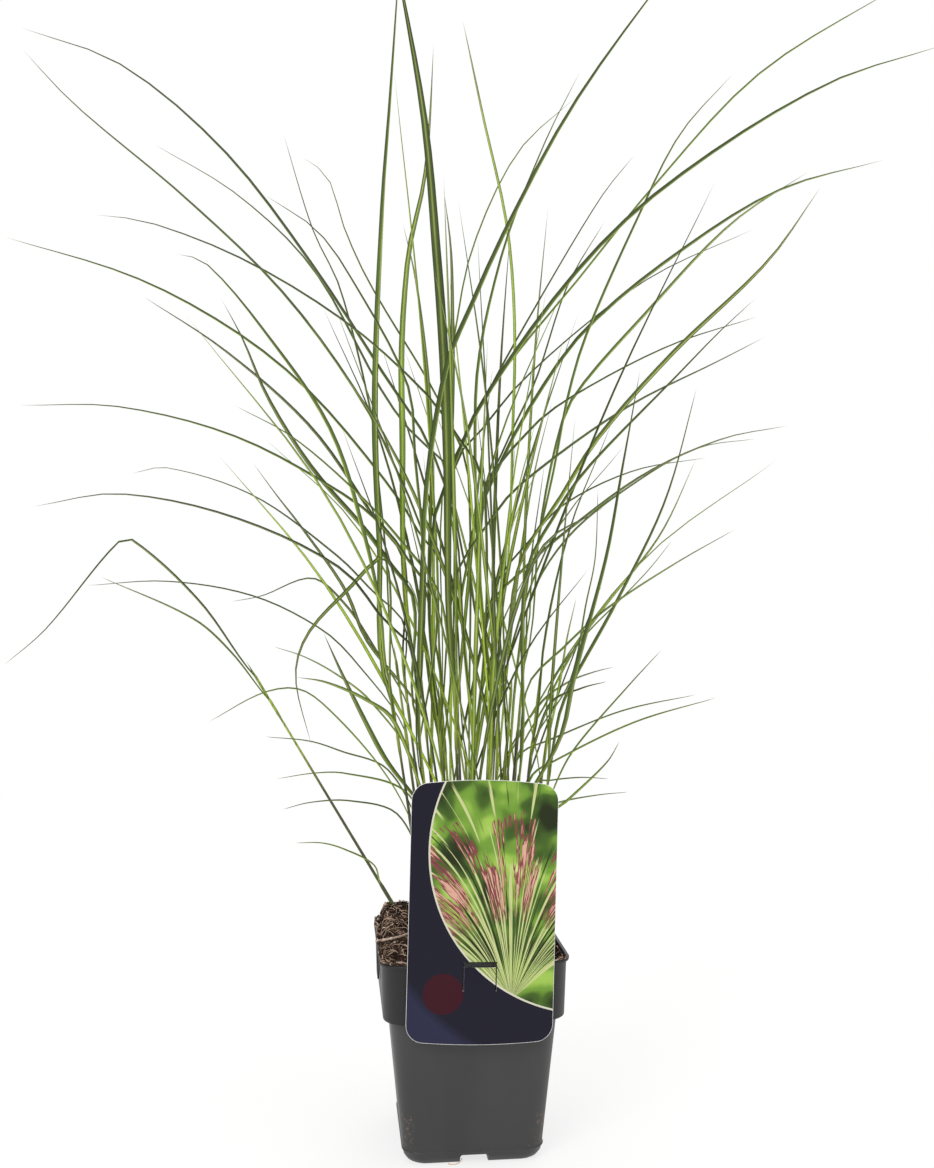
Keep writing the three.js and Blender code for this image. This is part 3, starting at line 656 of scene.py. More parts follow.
# Pot: one moulding, raised ring by ring from its foot, over the rim and down the inside
pot = {
    "height": 135,
    "foot": 40.5,        # half width; the rings are (half width, height) in mm
    "outside": [
        (42.4, 0.4), (43.6, 1.3), (45.6, 4.5), (46.1, 7.4), (46.9, 7.8), (47, 8.7), (46.4, 9.1),
        (54.8, 94), (59.5, 96.3), (60.8, 132.4), (62.3, 132.7), (62.5, 134.3), (61.9, 135),
    ],
    "inside": [(60, 135), (59.6, 132.4), (58.3, 97.5), (53.6, 95.2), (45.3, 10), (44.2, 6.8)],
    "corner": 0.28,      # corner radius as a share of the half width
    "cornerSteps": 10,
    "edgeRound": 0.35,
    "band": 60.8,
    "rim": 62.5,
    "tabWidth": 18,
    "tabHeight": 24,
    "tabThickness": 1.1,
    "tabTop": 133.6,
    "tabInset": 0.1,
    "tabDraft": 0.6,
    "tabRound": 0.3,
    "ledgeReach": 1.6,
    "ledge": (133.9, 136.2),
    "drain": (32, 48),
    "drainWidth": 18.5,
    "drainHeight": 6,
    "drainRound": 1.8,
    "step": (94.5, 96.5),        # heights of the step from the body to the band
    "dustHeights": (75, 30),     # none above the first, full below the second
    "dustInward": (24, 42),      # from the middle of a side out to its corner
}


# the selected ring or face gets a new one at another height and half width
def raiseRing(half, height, before):
    scale = half / before
    bpy.ops.mesh.extrude_region_move()
    bpy.ops.transform.resize(value=(scale, scale, 0), center_override=(0, 0, height * mm))
    return half


# a hanging tab on the right-hand side, leaning in towards the band, with its ledge on the rim
def buildTab(withLedge):
    outer = pot["rim"] - pot["tabInset"]
    half = pot["tabWidth"] / 2
    foot = pot["height"] - pot["tabHeight"]
    tab = boxBetween((outer - pot["tabThickness"], -half, foot), (outer, half, pot["tabTop"]))
    editMode()
    selectWhere("VERT", lambda co, normal: co.z < (foot + slack) * mm)
    bpy.ops.transform.translate(value=(-pot["tabDraft"] * mm, 0, 0))
    objectMode()
    parts = [tab]
    if withLedge:
        low, high = pot["ledge"]
        parts.append(boxBetween((pot["band"], -half, low), (pot["rim"] + pot["ledgeReach"], half, high)))
    tab = joined(parts, "tab")
    modify(tab, "BEVEL", width=pot["tabRound"] * mm, segments=2)
    return tab


def turnedTo(side, obj):
    obj.rotation_euler = (0, 0, side * math.pi / 2)
    settle(obj)
    return obj


def buildPot():
    deselectAll()
    bpy.ops.mesh.primitive_plane_add(size=2 * pot["foot"] * mm)
    shell = named("pot_shell")
    editMode("SELECT")
    corner = pot["corner"] * pot["foot"] * mm
    bpy.ops.mesh.bevel(affect="VERTICES", offset=corner, segments=pot["cornerSteps"])
    bpy.ops.mesh.select_all(action="SELECT")
    before = pot["foot"]
    for half, height in pot["outside"] + pot["inside"]:
        before = raiseRing(half, height, before)
    faceOutwards()
    near, far = pot["drain"]
    half = pot["drainWidth"] / 2
    for side in range(4):
        cutter = boxBetween((near, -half, -pot["drainHeight"]), (far, half, pot["drainHeight"]))
        modify(cutter, "BEVEL", width=pot["drainRound"] * mm, segments=4)
        cutAway(shell, turnedTo(side, cutter))
    roundEdges(shell, pot["edgeRound"], 28)
    tabs = [turnedTo(side, buildTab(side % 2 == 1)) for side in range(4)]
    shell = joined([shell] + tabs, "pot_moulding")
    smoothByAngle(shell, 32)
    dress(shell, "pot", [pottingPlastic()])


# Soil: a ball of peat that fills the pot, mounded towards the back left
soil = {
    "half": 59.2,
    "sides": [(58, 97.8), (53.3, 95.5), (45, 10.3), (43.9, 7.1)],
    "corner": 15,
    "edge": 133.6,
    "mound": 4.6,
    "slope": 8.6,
    "shoulder": 20,      # how sharply the mound falls to the rim
    "highSide": (-0.5, 0.86),
    "lumps": 0.8,
    "lumpTurns": (0.21, 0.17, 0.43, 0.37),
    "smallLumps": 0.7,   # against the large ones
    "cells": 120,
    "clods": ((14, 3.5), (4, 1.6)),     # size and height, mm
    "clodDetail": 3,
    "clodMiddle": 0.62,
}


def soilHeight(x, y):
    inset = 1 - (max(abs(x), abs(y)) / (soil["half"] + slack)) ** soil["shoulder"]
    side = (x * soil["highSide"][0] + y * soil["highSide"][1]) / soil["half"]
    a, b, c, d = soil["lumpTurns"]
    lumps = math.sin(x * a + 1) * math.cos(y * b) + soil["smallLumps"] * math.sin(x * c + y * d)
    return soil["edge"] + inset * (soil["mound"] + soil["slope"] * side + soil["lumps"] * lumps)


# a point of a square, moved into one with round corners
def roundedPoint(x, y, half, corner):
    inner = half - corner
    outX = abs(x) - inner
    outY = abs(y) - inner
    if outX <= 0 or outY <= 0:
        return x, y
    scale = max(outX, outY) / math.hypot(outX, outY)
    return math.copysign(inner + outX * scale, x), math.copysign(inner + outY * scale, y)


def buildSoilBall():
    cells = soil["cells"]
    deselectAll()
    bpy.ops.mesh.primitive_grid_add(x_subdivisions=cells, y_subdivisions=cells, size=2 * soil["half"] * mm)
    ball = named("soil_ball")
    for vertex in ball.data.vertices:
        x, y = roundedPoint(vertex.co.x / mm, vertex.co.y / mm, soil["half"], soil["corner"])
        vertex.co = Vector((x, y, soilHeight(x, y))) * mm
    for size, height in soil["clods"]:
        clods = bpy.data.textures.new("clods", "CLOUDS")
        clods.noise_scale = size * mm
        clods.noise_depth = soil["clodDetail"]
        modify(
            ball, "DISPLACE", texture=clods, strength=height * mm, mid_level=soil["clodMiddle"],
            direction="Z", texture_coords="LOCAL",
        )
    editMode()
    bpy.ops.mesh.select_mode(type="EDGE")
    bpy.ops.mesh.select_non_manifold()
    before = soil["half"]
    for half, height in soil["sides"]:
        before = raiseRing(half, height, before)
    bpy.ops.mesh.edge_face_add()
    faceOutwards()
    smoothByAngle(ball, 60)
    dress(ball, "soil", [pottingSoil()])
    return ball


# a closed tube one unit tall, drawn out of its foot in even steps, with a point at its end
def buildTube(name, sides, steps):
    deselectAll()
    bpy.ops.mesh.primitive_circle_add(vertices=sides, radius=1, fill_type="NGON")
    tube = named(name)
    editMode("SELECT")
    for _ in range(steps):
        bpy.ops.mesh.extrude_region_move(TRANSFORM_OT_translate={"value": (0, 0, 1 / steps)})
    bpy.ops.mesh.merge(type="CENTER")
    faceOutwards()
    return tube


# lays a tube along a course of points, with a radius at each of them
def layTube(tube, points, radii):
    last = len(points) - 1
    for vertex in tube.data.vertices:
        step = round(vertex.co.z * last)
        way = points[min(step + 1, last)] - points[max(step - 1, 0)]
        turn = way.to_track_quat("Z", "Y")
        out = turn @ Vector((vertex.co.x, vertex.co.y, 0))
        vertex.co = points[step] + out * radii[step]


# Bark and coir: loose crumbs, chips and fibres on the soil and along the rim, in mm
bits = {
    "crumbs": 420,
    "crumbSizes": (0.7, 2.2),
    "crumbShares": ((0.6, 1), (0.5, 0.9)),      # depth and height against the width
    "chips": 130,
    "chipLengths": (3, 11),
    "chipWidths": (1.2, 3.5),
    "chipThickness": 1.1,
    "chipRound": 0.16,   # as a share of its thickness
    "tilt": 0.5,
    "lift": 0.25,        # how far their middles are above the soil, as a share of their height
    "fibres": 1900,
    "rimFibres": 420,
    "rimSides": (0, 0, 1, 1, 2, 3),     # quarter turns, more to the left and the back
    "fibreLengths": (5, 15),
    "fibreRadii": (0.1, 0.3),
    "fibreFoot": 0.6,    # how thick its foot is, as a share
    "fibreSteps": 6,
    "rest": 0.3,         # the least that a fibre lies above the ground
    "arches": (0.2, 1.8),
    "rimArch": 1.8,      # how much higher they arch over the rim
    "archShares": (0.5, 1),
    "curl": 0.16,        # radians to a step
    "curlShares": (0.4, 1.6),
    "rimTurn": 0.6,      # how far they turn away from the rim's own way
    "chipReach": 55,
    "reach": 61.8,       # half the square they lie in, out over the pot's rim
    "rightReach": 58.6,  # to the right they stay within the rim
    "rim": 58.4,         # from here outwards they lie along the rim
    "above": 200,        # a height over all of the soil
    "seed": 31,
    # a pale root that curls out of the front drain notch
    "rootRadius": 0.4,
    "root": (
        (-8, -42.6, 2.6), (-9, -44.2, 1.6), (-11, -45.6, 0.7), (-13, -46.2, 0.5), (-15, -46.2, 0.5),
        (-17, -45.8, 0.9), (-17.6, -45.6, 1.8),
    ),
}


# keeps a point within the round-cornered square that the bits lie in
def held(x, y):
    inner = bits["reach"] - soil["corner"]
    outX = max(0, abs(x) - inner)
    outY = max(0, abs(y) - inner)
    scale = min(1, soil["corner"] / max(math.hypot(outX, outY), 0.001))
    x = min(math.copysign(min(abs(x), inner) + outX * scale, x), bits["rightReach"])
    y = math.copysign(min(abs(y), inner) + outY * scale, y)
    return x, y


# gives every point of a piece the same tone
def toned(obj, attribute, field, tone):
    obj.data.attributes[attribute].data.foreach_set(field, tone * len(obj.data.vertices))
    return obj


def scatterBits(ball):
    rng = random.Random(bits["seed"])
    deselectAll()
    bpy.ops.mesh.primitive_ico_sphere_add(subdivisions=1, radius=0.5)
    crumb = named("crumb")
    deselectAll()
    bpy.ops.mesh.primitive_cube_add(size=1)
    chip = named("chip")
    modify(chip, "BEVEL", width=bits["chipRound"], segments=1)
    steps = bits["fibreSteps"]
    fibre = buildTube("fibre", 3, steps)
    for template in (crumb, chip, fibre):
        template.data.attributes.new("bitTone", "FLOAT", "POINT")
    surface = BVHTree.FromPolygons(
        [vertex.co for vertex in ball.data.vertices],
        [polygon.vertices for polygon in ball.data.polygons],
    )

    # what a bit lies on: the soil, or the top of the rim round it
    def groundAt(x, y):
        place, normal, _, _ = surface.ray_cast(Vector((x * mm, y * mm, bits["above"] * mm)), -up)
        return (place, normal) if place else (Vector((x * mm, y * mm, pot["height"] * mm)), up)

    def onSoil(reach):
        x, y = [rng.uniform(-reach, reach) for _ in range(2)]
        return *held(x, y), rng.uniform(0, 2 * math.pi)

    def onRim():
        side = rng.choice(bits["rimSides"]) * math.pi / 2
        out = Vector((-rng.uniform(bits["rim"], bits["reach"]), rng.uniform(-1, 1) * bits["reach"], 0))
        out.rotate(Quaternion(up, -side))
        along = math.pi / 2 - side + rng.choice((0, math.pi))
        return *held(out.x, out.y), along + rng.uniform(-bits["rimTurn"], bits["rimTurn"])

    loose = []
    for template in [crumb] * bits["crumbs"] + [chip] * bits["chips"]:
        x, y, heading = onSoil(bits["chipReach"])
        place, normal = groundAt(x, y)
        if template is crumb:
            size = rng.uniform(*bits["crumbSizes"])
            scale = Vector((size, *[size * rng.uniform(*span) for span in bits["crumbShares"]]))
        else:
            length, width = rng.uniform(*bits["chipLengths"]), rng.uniform(*bits["chipWidths"])
            scale = Vector((length, width, bits["chipThickness"]))
        tilt = Quaternion((1, 0, 0), rng.uniform(-bits["tilt"], bits["tilt"]))
        turn = normal.to_track_quat("Z", "Y") @ Quaternion(up, heading) @ tilt
        bit = copied(template)
        bit.data.transform(Matrix.LocRotScale(place + normal * scale.z * bits["lift"] * mm, turn, scale * mm))
        loose.append(toned(bit, "bitTone", "value", [rng.random()]))
    for index in range(bits["fibres"] + bits["rimFibres"]):
        x, y, heading = onSoil(bits["reach"]) if index < bits["fibres"] else onRim()
        length = rng.uniform(*bits["fibreLengths"])
        curl = rng.uniform(-bits["curl"], bits["curl"])
        arch = rng.uniform(*bits["arches"]) * (1 if index < bits["fibres"] else bits["rimArch"])
        points = []
        for step in range(steps + 1):
            below, _ = groundAt(x, y)
            rise = arch * math.sin(step / steps * math.pi) * rng.uniform(*bits["archShares"])
            points.append(below + up * (bits["rest"] + rise) * mm)
            heading += curl * rng.uniform(*bits["curlShares"])
            x, y = held(x + math.cos(heading) * length / steps, y + math.sin(heading) * length / steps)
        bit = copied(fibre)
        radius = rng.uniform(*bits["fibreRadii"]) * mm
        layTube(bit, points, [radius * bits["fibreFoot"]] + [radius] * (steps - 1) + [0])
        loose.append(toned(bit, "bitTone", "value", [rng.random()]))
    root = copied(fibre)
    layTube(root, [Vector(point) * mm for point in bits["root"]], [bits["rootRadius"] * mm] * steps + [0])
    loose.append(toned(root, "bitTone", "value", [1]))
    for template in (crumb, chip, fibre):
        bpy.data.objects.remove(template)
    litter = joined(loose, "bark_and_coir")
    dress(litter, None, [looseBits()])


# Dead stem: an old culm lying on the soil at the left
deadStem = {
    "radii": (1, 0.9, 0.8, 0.7),
    "points": ((-62.5, -9, 136.7), (-54, -20, 141), (-46, -21, 143), (-34, -17, 146.3)),
    "sides": 10,
    "steps": 18,
    "node": (7, 1.25),   # the step where it swells, and by how much
}


def buildDeadStem():
    culm = buildTube("dead_culm", deadStem["sides"], deadStem["steps"])
    knots = [Vector(point) for point in deadStem["points"]]
    node, swelling = deadStem["node"]
    points = []
    radii = []
    for step in range(deadStem["steps"] + 1):
        at = step / deadStem["steps"] * (len(knots) - 1)
        span = min(int(at), len(knots) - 2)
        part = at - span
        points.append(knots[span].lerp(knots[span + 1], part) * mm)
        radius = deadStem["radii"][span] * (1 - part) + deadStem["radii"][span + 1] * part
        radii.append(radius * mm * (swelling if step == node else 1))
    radii[-1] = 0
    layTube(culm, points, radii)
    smoothByAngle(culm, 40)
    dress(culm, "dead_stem", [bleachedStraw()])


# Clump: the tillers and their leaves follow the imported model's own rules, in the same order
clump = {
    "across": 5,
    "away": 4,
    "radius": 36,
    "tillers": 28,
    "goldenTurn": 2.39996,
    "crown": 137,
    "fanLean": 0.0048,
    "turnJitter": 0.12,
    "leanJitter": 0.016,
    "seed": 4021,
    "stemHeights": (140, 240),
    "stemHeightLoss": 1.6,
    "stemDepth": 18,
    "stemRadii": (1.7, 1),
    "stemTip": 7,
    "outer": {"across": -47, "away": 40, "lean": (-0.62, 0.08), "height": 178},
}

leaves = {
    "widthAtRoot": 0.5,
    "widening": 1.3,
    # how full the tip is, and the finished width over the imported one, for each kind of leaf
    "tall": (9, 0.85),
    "long": (3.4, 1.46),
    "side": (2.6, 1.12),
    "middle": (2.4, 1.2),
    "sideUpTo": 500,     # heights of the tip that make a long leaf one of the sides, or a tall one
    "tallFrom": 800,
    "stemWidth": 0.72,
    "angle": 0.27,
    "twist": ((-0.6, 0.6), (-0.9, 0.9)),    # at the root, and over the length
    "spacing": 12,
    "lowest": 22,
    "rise": 0.8,
    "depthAtClump": 0.2,
    "depthCurve": 1.2,
    "nearEnough": 0.2,   # mm
    "swings": 6,
    "depthSwing": 6,
    "turnSwing": 0.14,
    "perTiller": 4,
    "starts": (0.2, 0.94),
    "levelJitter": (0.3, 0.7),
    "leans": (0.06, 0.5),
    "droop": 0.08,
    "bend": 0.9,
    "lengths": (200, 400),
    "widths": (1.8, 2.8),
    "fan": 1.3,
    "farShare": 0.3,
    "farDroop": 0.35,
    "farLength": 80,
    "farFan": 0.35,
    "archSpans": 3,
    "archCurve": 1.4,
    # what only the finished blade has
    "fold": 0.5,        # how far its margins stand up, as a share of its half width
    "keel": 0.55,       # mm below the midrib
    "tipKeel": 0.45,    # what is left of it at the tip
    "steps": {"long": 26, "middle": 14},
    "stemSides": 8,
    "stemSteps": 26,
    # how far a sheath stands out where its leaf leaves it, and from where to where about it, mm
    "collar": 0.28,
    "collarSpan": (-10, 2),
    "collarRings": (-9, 1, 3),
    # tints from dark to light, and how far a leaf's own may be from its tiller's
    "tints": (0.2, 0.8),
    "tintSpread": 0.5,
    "tallTint": 0.6,
    "longTint": (0.47, 0.5),    # what the long leaves start from, and their share of the spread
    "aging": (130, 160),        # mm from the pot's axis to where leaves turn old, and over how far
    "ages": (0.6, 1),
    "seed": 7,
}

# the long leaves: how far away their tips are, their width, and the points (across, up) that the
# front view shows, all in mm
longLeaves = [
    (-60, 3.4, [(-8, 419), (-27, 476), (-53, 516), (-108, 600), (-168, 677), (-239, 736), (-308, 761)]),
    (50, 3.0, [(-30, 408), (-46, 451), (-74, 507), (-127, 579), (-194, 644), (-270, 708), (-306, 746)]),
    (110, 2.6, [(-12, 455), (-37, 481), (-58, 510), (-106, 595), (-158, 646), (-216, 681)]),
    (-90, 3.0, [(12, 447), (-6, 479), (-28, 509), (-80, 556), (-151, 600), (-219, 627), (-256, 632)]),
    (90, 3.0, [(-10, 379), (-32, 412), (-50, 441), (-107, 509), (-160, 552), (-229, 589), (-319, 617)]),
    (-110, 3.6, [(-60, 360), (-70, 408), (-94, 484), (-141, 554), (-180, 599), (-200, 605)]),
    (130, 2.8, [(-43, 393), (-63, 422), (-107, 485), (-166, 538), (-223, 576)]),
    (-40, 3.0, [(-37, 367), (-54, 393), (-70, 415), (-107, 458), (-137, 506), (-155, 548), (-169, 574)]),
    (80, 2.4, [(-56, 403), (-61, 450), (-65, 491), (-87, 581), (-106, 622), (-126, 687)]),
    (120, 2.6, [(1, 455), (-12, 489), (-25, 515), (-67, 585), (-84, 622), (-96, 658), (-114, 672)]),
    (-130, 2.4, [(-30, 395), (-36, 467), (-41, 515), (-80, 589), (-104, 622), (-140, 646)]),
    (-60, 3.8, [(-60, 408), (-63, 505), (-58, 637), (-53, 708), (-45, 831)]),
    (-170, 4.6, [(-14, 477), (-16, 534), (-21, 606), (-30, 702), (-54, 835)]),
    (100, 3.2, [(-45, 505), (-41, 600), (-30, 653), (-26, 692), (-23, 750)]),
    (140, 2.4, [(-25, 491), (-34, 579), (-44, 626)]),
    (60, 2.8, [(-10, 546), (-11, 606), (-16, 649)]),
    (-190, 4.4, [(-29, 422), (-23, 479), (-12, 534), (0, 562), (27, 622), (76, 712), (160, 828)]),
    (110, 3.0, [(-17, 441), (-1, 480), (23, 522), (76, 587), (127, 650), (201, 729), (298, 790)]),
    (-70, 3.6, [(-24, 412), (-8, 462), (12, 505), (76, 593), (139, 653), (246, 721), (332, 750)]),
    (40, 2.6, [(45, 388), (60, 458), (69, 505), (82, 549), (119, 633), (147, 688), (184, 730)]),
    (90, 3.0, [(32, 505), (29, 612), (10, 704), (-3, 766)]),
    (-60, 3.0, [(6, 505), (23, 601), (54, 683), (78, 731)]),
    (150, 2.6, [(-14, 501), (-8, 553), (4, 610), (35, 675), (75, 713)]),
    (130, 2.8, [(-10, 451), (12, 505), (47, 569), (92, 644), (115, 673)]),
    (170, 2.8, [(8, 425), (27, 475), (47, 518), (69, 583), (95, 628)]),
    (60, 3.2, [(2, 403), (21, 456), (47, 505), (82, 553), (143, 604), (215, 649), (288, 670)]),
    (-100, 3.2, [(36, 391), (65, 438), (91, 479), (143, 538), (207, 600), (244, 652)]),
    (120, 2.6, [(50, 415), (62, 476), (74, 507), (123, 564), (182, 626), (237, 663)]),
    (160, 2.4, [(-10, 455), (14, 489), (38, 518), (88, 562), (133, 593), (197, 622)]),
    (-130, 2.8, [(41, 384), (66, 434), (85, 460), (143, 520), (174, 552), (199, 575)]),
    (30, 2.8, [(12, 439), (43, 484), (72, 507), (139, 542), (200, 562)]),
    (-40, 3.0, [(-8, 382), (16, 422), (36, 446), (109, 499), (174, 532), (205, 548)]),
    (-40, 3.4, [(-21, 363), (-39, 392), (-57, 417), (-84, 439), (-158, 479), (-239, 500), (-309, 501)]),
    (110, 2.4, [(-43, 350), (-65, 373), (-90, 398), (-147, 439), (-206, 458), (-231, 454)]),
    (-110, 3.0, [(-38, 333), (-57, 353), (-86, 388), (-158, 423), (-239, 440), (-300, 431)]),
    (60, 3.0, [(-184, 366), (-230, 408), (-241, 406), (-290, 347), (-319, 322)]),
    (60, 2.6, [(-76, 324), (-100, 347), (-147, 370), (-206, 380), (-262, 377)]),
    (40, 2.6, [(-162, 331), (-188, 354), (-252, 383)]),
    (-80, 2.6, [(-60, 253), (-96, 293), (-116, 306), (-141, 303), (-178, 283)]),
    (40, 2.6, [(-55, 251), (-86, 263), (-108, 270), (-139, 273)]),
    (-30, 2.8, [(-43, 236), (-84, 248), (-106, 248), (-131, 244)]),
    (-120, 2.8, [(-56, 395), (-84, 372), (-110, 343), (-118, 314), (-107, 267)]),
    (140, 2.2, [(-63, 333), (-84, 364), (-107, 382), (-141, 370), (-162, 366)]),
    (-60, 4.0, [(-56, 257), (-69, 281), (-86, 316), (-99, 345)]),
    (-130, 2.8, [(-50, 283), (-69, 298), (-96, 310), (-118, 314)]),
    (90, 2.2, [(-67, 298), (-90, 316), (-112, 328), (-133, 335)]),
    (130, 2.8, [(-69, 339), (-84, 374), (-114, 417), (-131, 439), (-147, 461)]),
    (-150, 2.4, [(-19, 370), (-46, 408), (-76, 441), (-120, 479), (-160, 501)]),
    (-50, 3.2, [(12, 355), (41, 390), (72, 417), (123, 454), (176, 478), (221, 487)]),
    (80, 2.6, [(43, 367), (71, 412), (119, 450), (160, 472), (199, 478)]),
    (130, 2.6, [(19, 374), (43, 408), (67, 433), (115, 456), (165, 465)]),
    (-70, 3.2, [(59, 263), (67, 298), (103, 366), (136, 435), (158, 513)]),
    (110, 2.6, [(54, 295), (74, 333), (96, 364), (133, 412), (158, 465)]),
    (-110, 3.0, [(41, 306), (67, 335), (96, 361), (143, 392), (185, 416)]),
    (60, 2.4, [(56, 304), (78, 339), (105, 367), (125, 388), (141, 408)]),
    (-60, 2.4, [(61, 241), (74, 265), (111, 308), (134, 333)]),
    (80, 2.8, [(36, 260), (57, 271), (107, 291), (158, 302)]),
    (-80, 3.2, [(44, 245), (61, 257), (115, 283), (172, 300)]),
    (-40, 3.0, [(57, 219), (69, 229), (96, 255), (105, 270)]),
    (90, 2.2, [(50, 221), (64, 228), (90, 233), (111, 235)]),
    (120, 2.2, [(47, 240), (57, 243), (78, 245), (98, 244)]),
    (130, 2.4, [(50, 295), (69, 310), (86, 317), (101, 321)]),
    (-100, 2.2, [(57, 295), (78, 306), (96, 311)]),
    (90, 2.2, [(63, 305), (69, 341), (75, 368)]),
    (-140, 3.0, [(64, 271), (74, 314), (96, 396), (107, 458), (119, 525)]),
    (40, 2.8, [(71, 312), (82, 366), (88, 396), (90, 443)]),
    (30, 2.6, [(-64, 185), (-85, 196), (-100, 200), (-118, 200)]),
    (60, 2.6, [(-48, 220), (-80, 229), (-107, 228), (-127, 223)]),
]


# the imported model's random draws, the same numbers in the same order
def seededDraws(seed):
    factor, step, size = 1664525, 1013904223, 2 ** 32

    def draw(low, high):
        nonlocal seed
        seed = (seed * factor + step) % size
        return low + (high - low) * seed / size
    return draw


def makeTillers(draw):
    tillers = []
    for index in range(clump["tillers"]):
        reach = clump["radius"] * math.sqrt((index + 0.5) / clump["tillers"])
        turn = index * clump["goldenTurn"] + draw(-clump["turnJitter"], clump["turnJitter"])
        across = reach * math.cos(turn)
        away = reach * math.sin(turn)
        lean = [
            out * clump["fanLean"] + draw(-clump["leanJitter"], clump["leanJitter"])
            for out in (across, away)
        ]
        tillers.append({
            "across": clump["across"] + across,
            "away": clump["away"] + away,
            "lean": lean,
            "height": draw(*clump["stemHeights"]) - clump["stemHeightLoss"] * reach,
        })
    tillers.append(dict(clump["outer"]))
    for index, tiller in enumerate(tillers):
        node = f"tiller_{index + 1:02d}"
        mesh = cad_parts[node].data
        tree = KDTree(len(mesh.vertices))
        for vertex in mesh.vertices:
            tree.insert(vertex.co, vertex.index)
        tree.balance()
        tiller.update({"node": node, "leaves": [], "corners": tree})
    return tillers


def stemPoint(tiller, height):
    return fromView(
        tiller["across"] + tiller["lean"][0] * height,
        tiller["away"] + tiller["lean"][1] * height,
        clump["crown"] + height,
    )


def stemWay(tiller):
    return (stemPoint(tiller, 1) - stemPoint(tiller, 0)).normalized()


def headingOf(start, end):
    return Vector((end.x - start.x, end.y - start.y, 0)).normalized()


def longLeaf(tiller, tipAway, front):
    lowAway = tiller["away"] + (tipAway - tiller["away"]) * leaves["depthAtClump"]
    low = seenAt(*front[0], lowAway)
    lowHeight = low.z - clump["crown"]
    off = low - stemPoint(tiller, lowHeight)
    aside = math.hypot(off.x, off.y)
    top = tiller["height"] - leaves["spacing"] * (len(tiller["leaves"]) + 0.5)
    wished = lowHeight - leaves["rise"] * aside - 2 * leaves["spacing"]
    start = max(leaves["lowest"], min(top, wished))
    root = stemPoint(tiller, start)
    points = [root, low]
    for index in range(1, len(front)):
        part = (index / (len(front) - 1)) ** leaves["depthCurve"]
        points.append(seenAt(*front[index], lowAway + (tipAway - lowAway) * part))
    way = stemWay(tiller) + headingOf(root, low) * leaves["angle"]
    heading = headingOf(root, points[-1])
    return {"points": points, "way": way.normalized(), "heading": heading, "start": start}


def archingLeaf(tiller, start, lean, droop, length, turn):
    heading = fromView(math.cos(turn), math.sin(turn), 0)
    points = [stemPoint(tiller, start)]
    spans = leaves["archSpans"]
    for index in range(spans):
        bent = lean + droop * ((index + 0.5) / spans) ** leaves["archCurve"]
        points.append(points[-1] + (heading * math.sin(bent) + up * math.cos(bent)) * length / spans)
    way = stemWay(tiller) + heading * leaves["angle"]
    return {"points": points, "way": way.normalized(), "heading": heading, "start": start}


def swings(step):
    return [count * step for count in range(-leaves["swings"], leaves["swings"] + 1)]


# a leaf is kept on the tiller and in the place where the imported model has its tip
def keepLeaf(candidates, details):
    for tiller, leaf in candidates:
        _, _, gap = tiller["corners"].find(leaf["points"][-1] * mm)
        if gap < leaves["nearEnough"] * mm:
            tiller["leaves"].append({**leaf, **details})
            return True
    return False


def growClump():
    draw = seededDraws(clump["seed"])
    tillers = makeTillers(draw)
    kept = 0
    for away, width, front in longLeaves:
        twist = [draw(*span) for span in leaves["twist"]]
        candidates = [
            (tiller, longLeaf(tiller, away + swing, front))
            for tiller in tillers for swing in swings(leaves["depthSwing"])
        ]
        kept += keepLeaf(candidates, {"twist": twist, "width": width, "long": True})
    print(f"{kept} of {len(longLeaves)} long leaves have their place")
    for tiller in tillers[:clump["tillers"]]:
        wanted = leaves["perTiller"] - len(tiller["leaves"])
        front = -1 if tiller["away"] < clump["away"] else 1
        for index in range(wanted):
            facing = front if index % 2 == 0 else -front
            far = draw(0, 1) < leaves["farShare"]
            turn = facing * math.pi / 2 + draw(-1, 1) * leaves["farFan" if far else "fan"]
            bend = draw(0, 1)
            low, high = leaves["starts"]
            level = (index + draw(*leaves["levelJitter"])) / wanted
            start = tiller["height"] * (low + (high - low) * level)
            lean = draw(*leaves["leans"])
            droop = leaves["droop"] + far * leaves["farDroop"] + leaves["bend"] * bend * bend
            length = draw(*leaves["lengths"]) + far * leaves["farLength"]
            width = draw(*leaves["widths"])
            twist = [draw(*span) for span in leaves["twist"]]
            candidates = [
                (tiller, archingLeaf(tiller, start, lean, droop, length, turn + swing))
                for swing in swings(leaves["turnSwing"])
            ]
            kept += keepLeaf(candidates, {"twist": twist, "width": width, "long": False})
    print(f"{kept} leaves in all on {len(tillers)} tillers")
    return tillers


# points along a leaf, as a smooth curve through its few given ones
def curveThrough(leaf, steps):
    points = leaf["points"]
    chords = [(b - a).length for a, b in zip(points, points[1:])]
    ways = [leaf["way"]]
    for index in range(1, len(points) - 1):
        ways.append((points[index + 1] - points[index - 1]) / (chords[index] + chords[index - 1]))
    ways.append((points[-1] - points[-2]) / chords[-1])
    course = []
    for step in range(steps + 1):
        reached = sum(chords) * step / steps
        span = 0
        while span < len(chords) - 1 and reached > chords[span]:
            reached -= chords[span]
            span += 1
        part = min(reached / chords[span], 1)
        near = 2 * part ** 3 - 3 * part ** 2 + 1
        leaving = (part ** 3 - 2 * part ** 2 + part) * chords[span]
        arriving = (part ** 3 - part ** 2) * chords[span]
        course.append(
            points[span] * near + ways[span] * leaving
            + points[span + 1] * (1 - near) + ways[span + 1] * arriving
        )
    return course


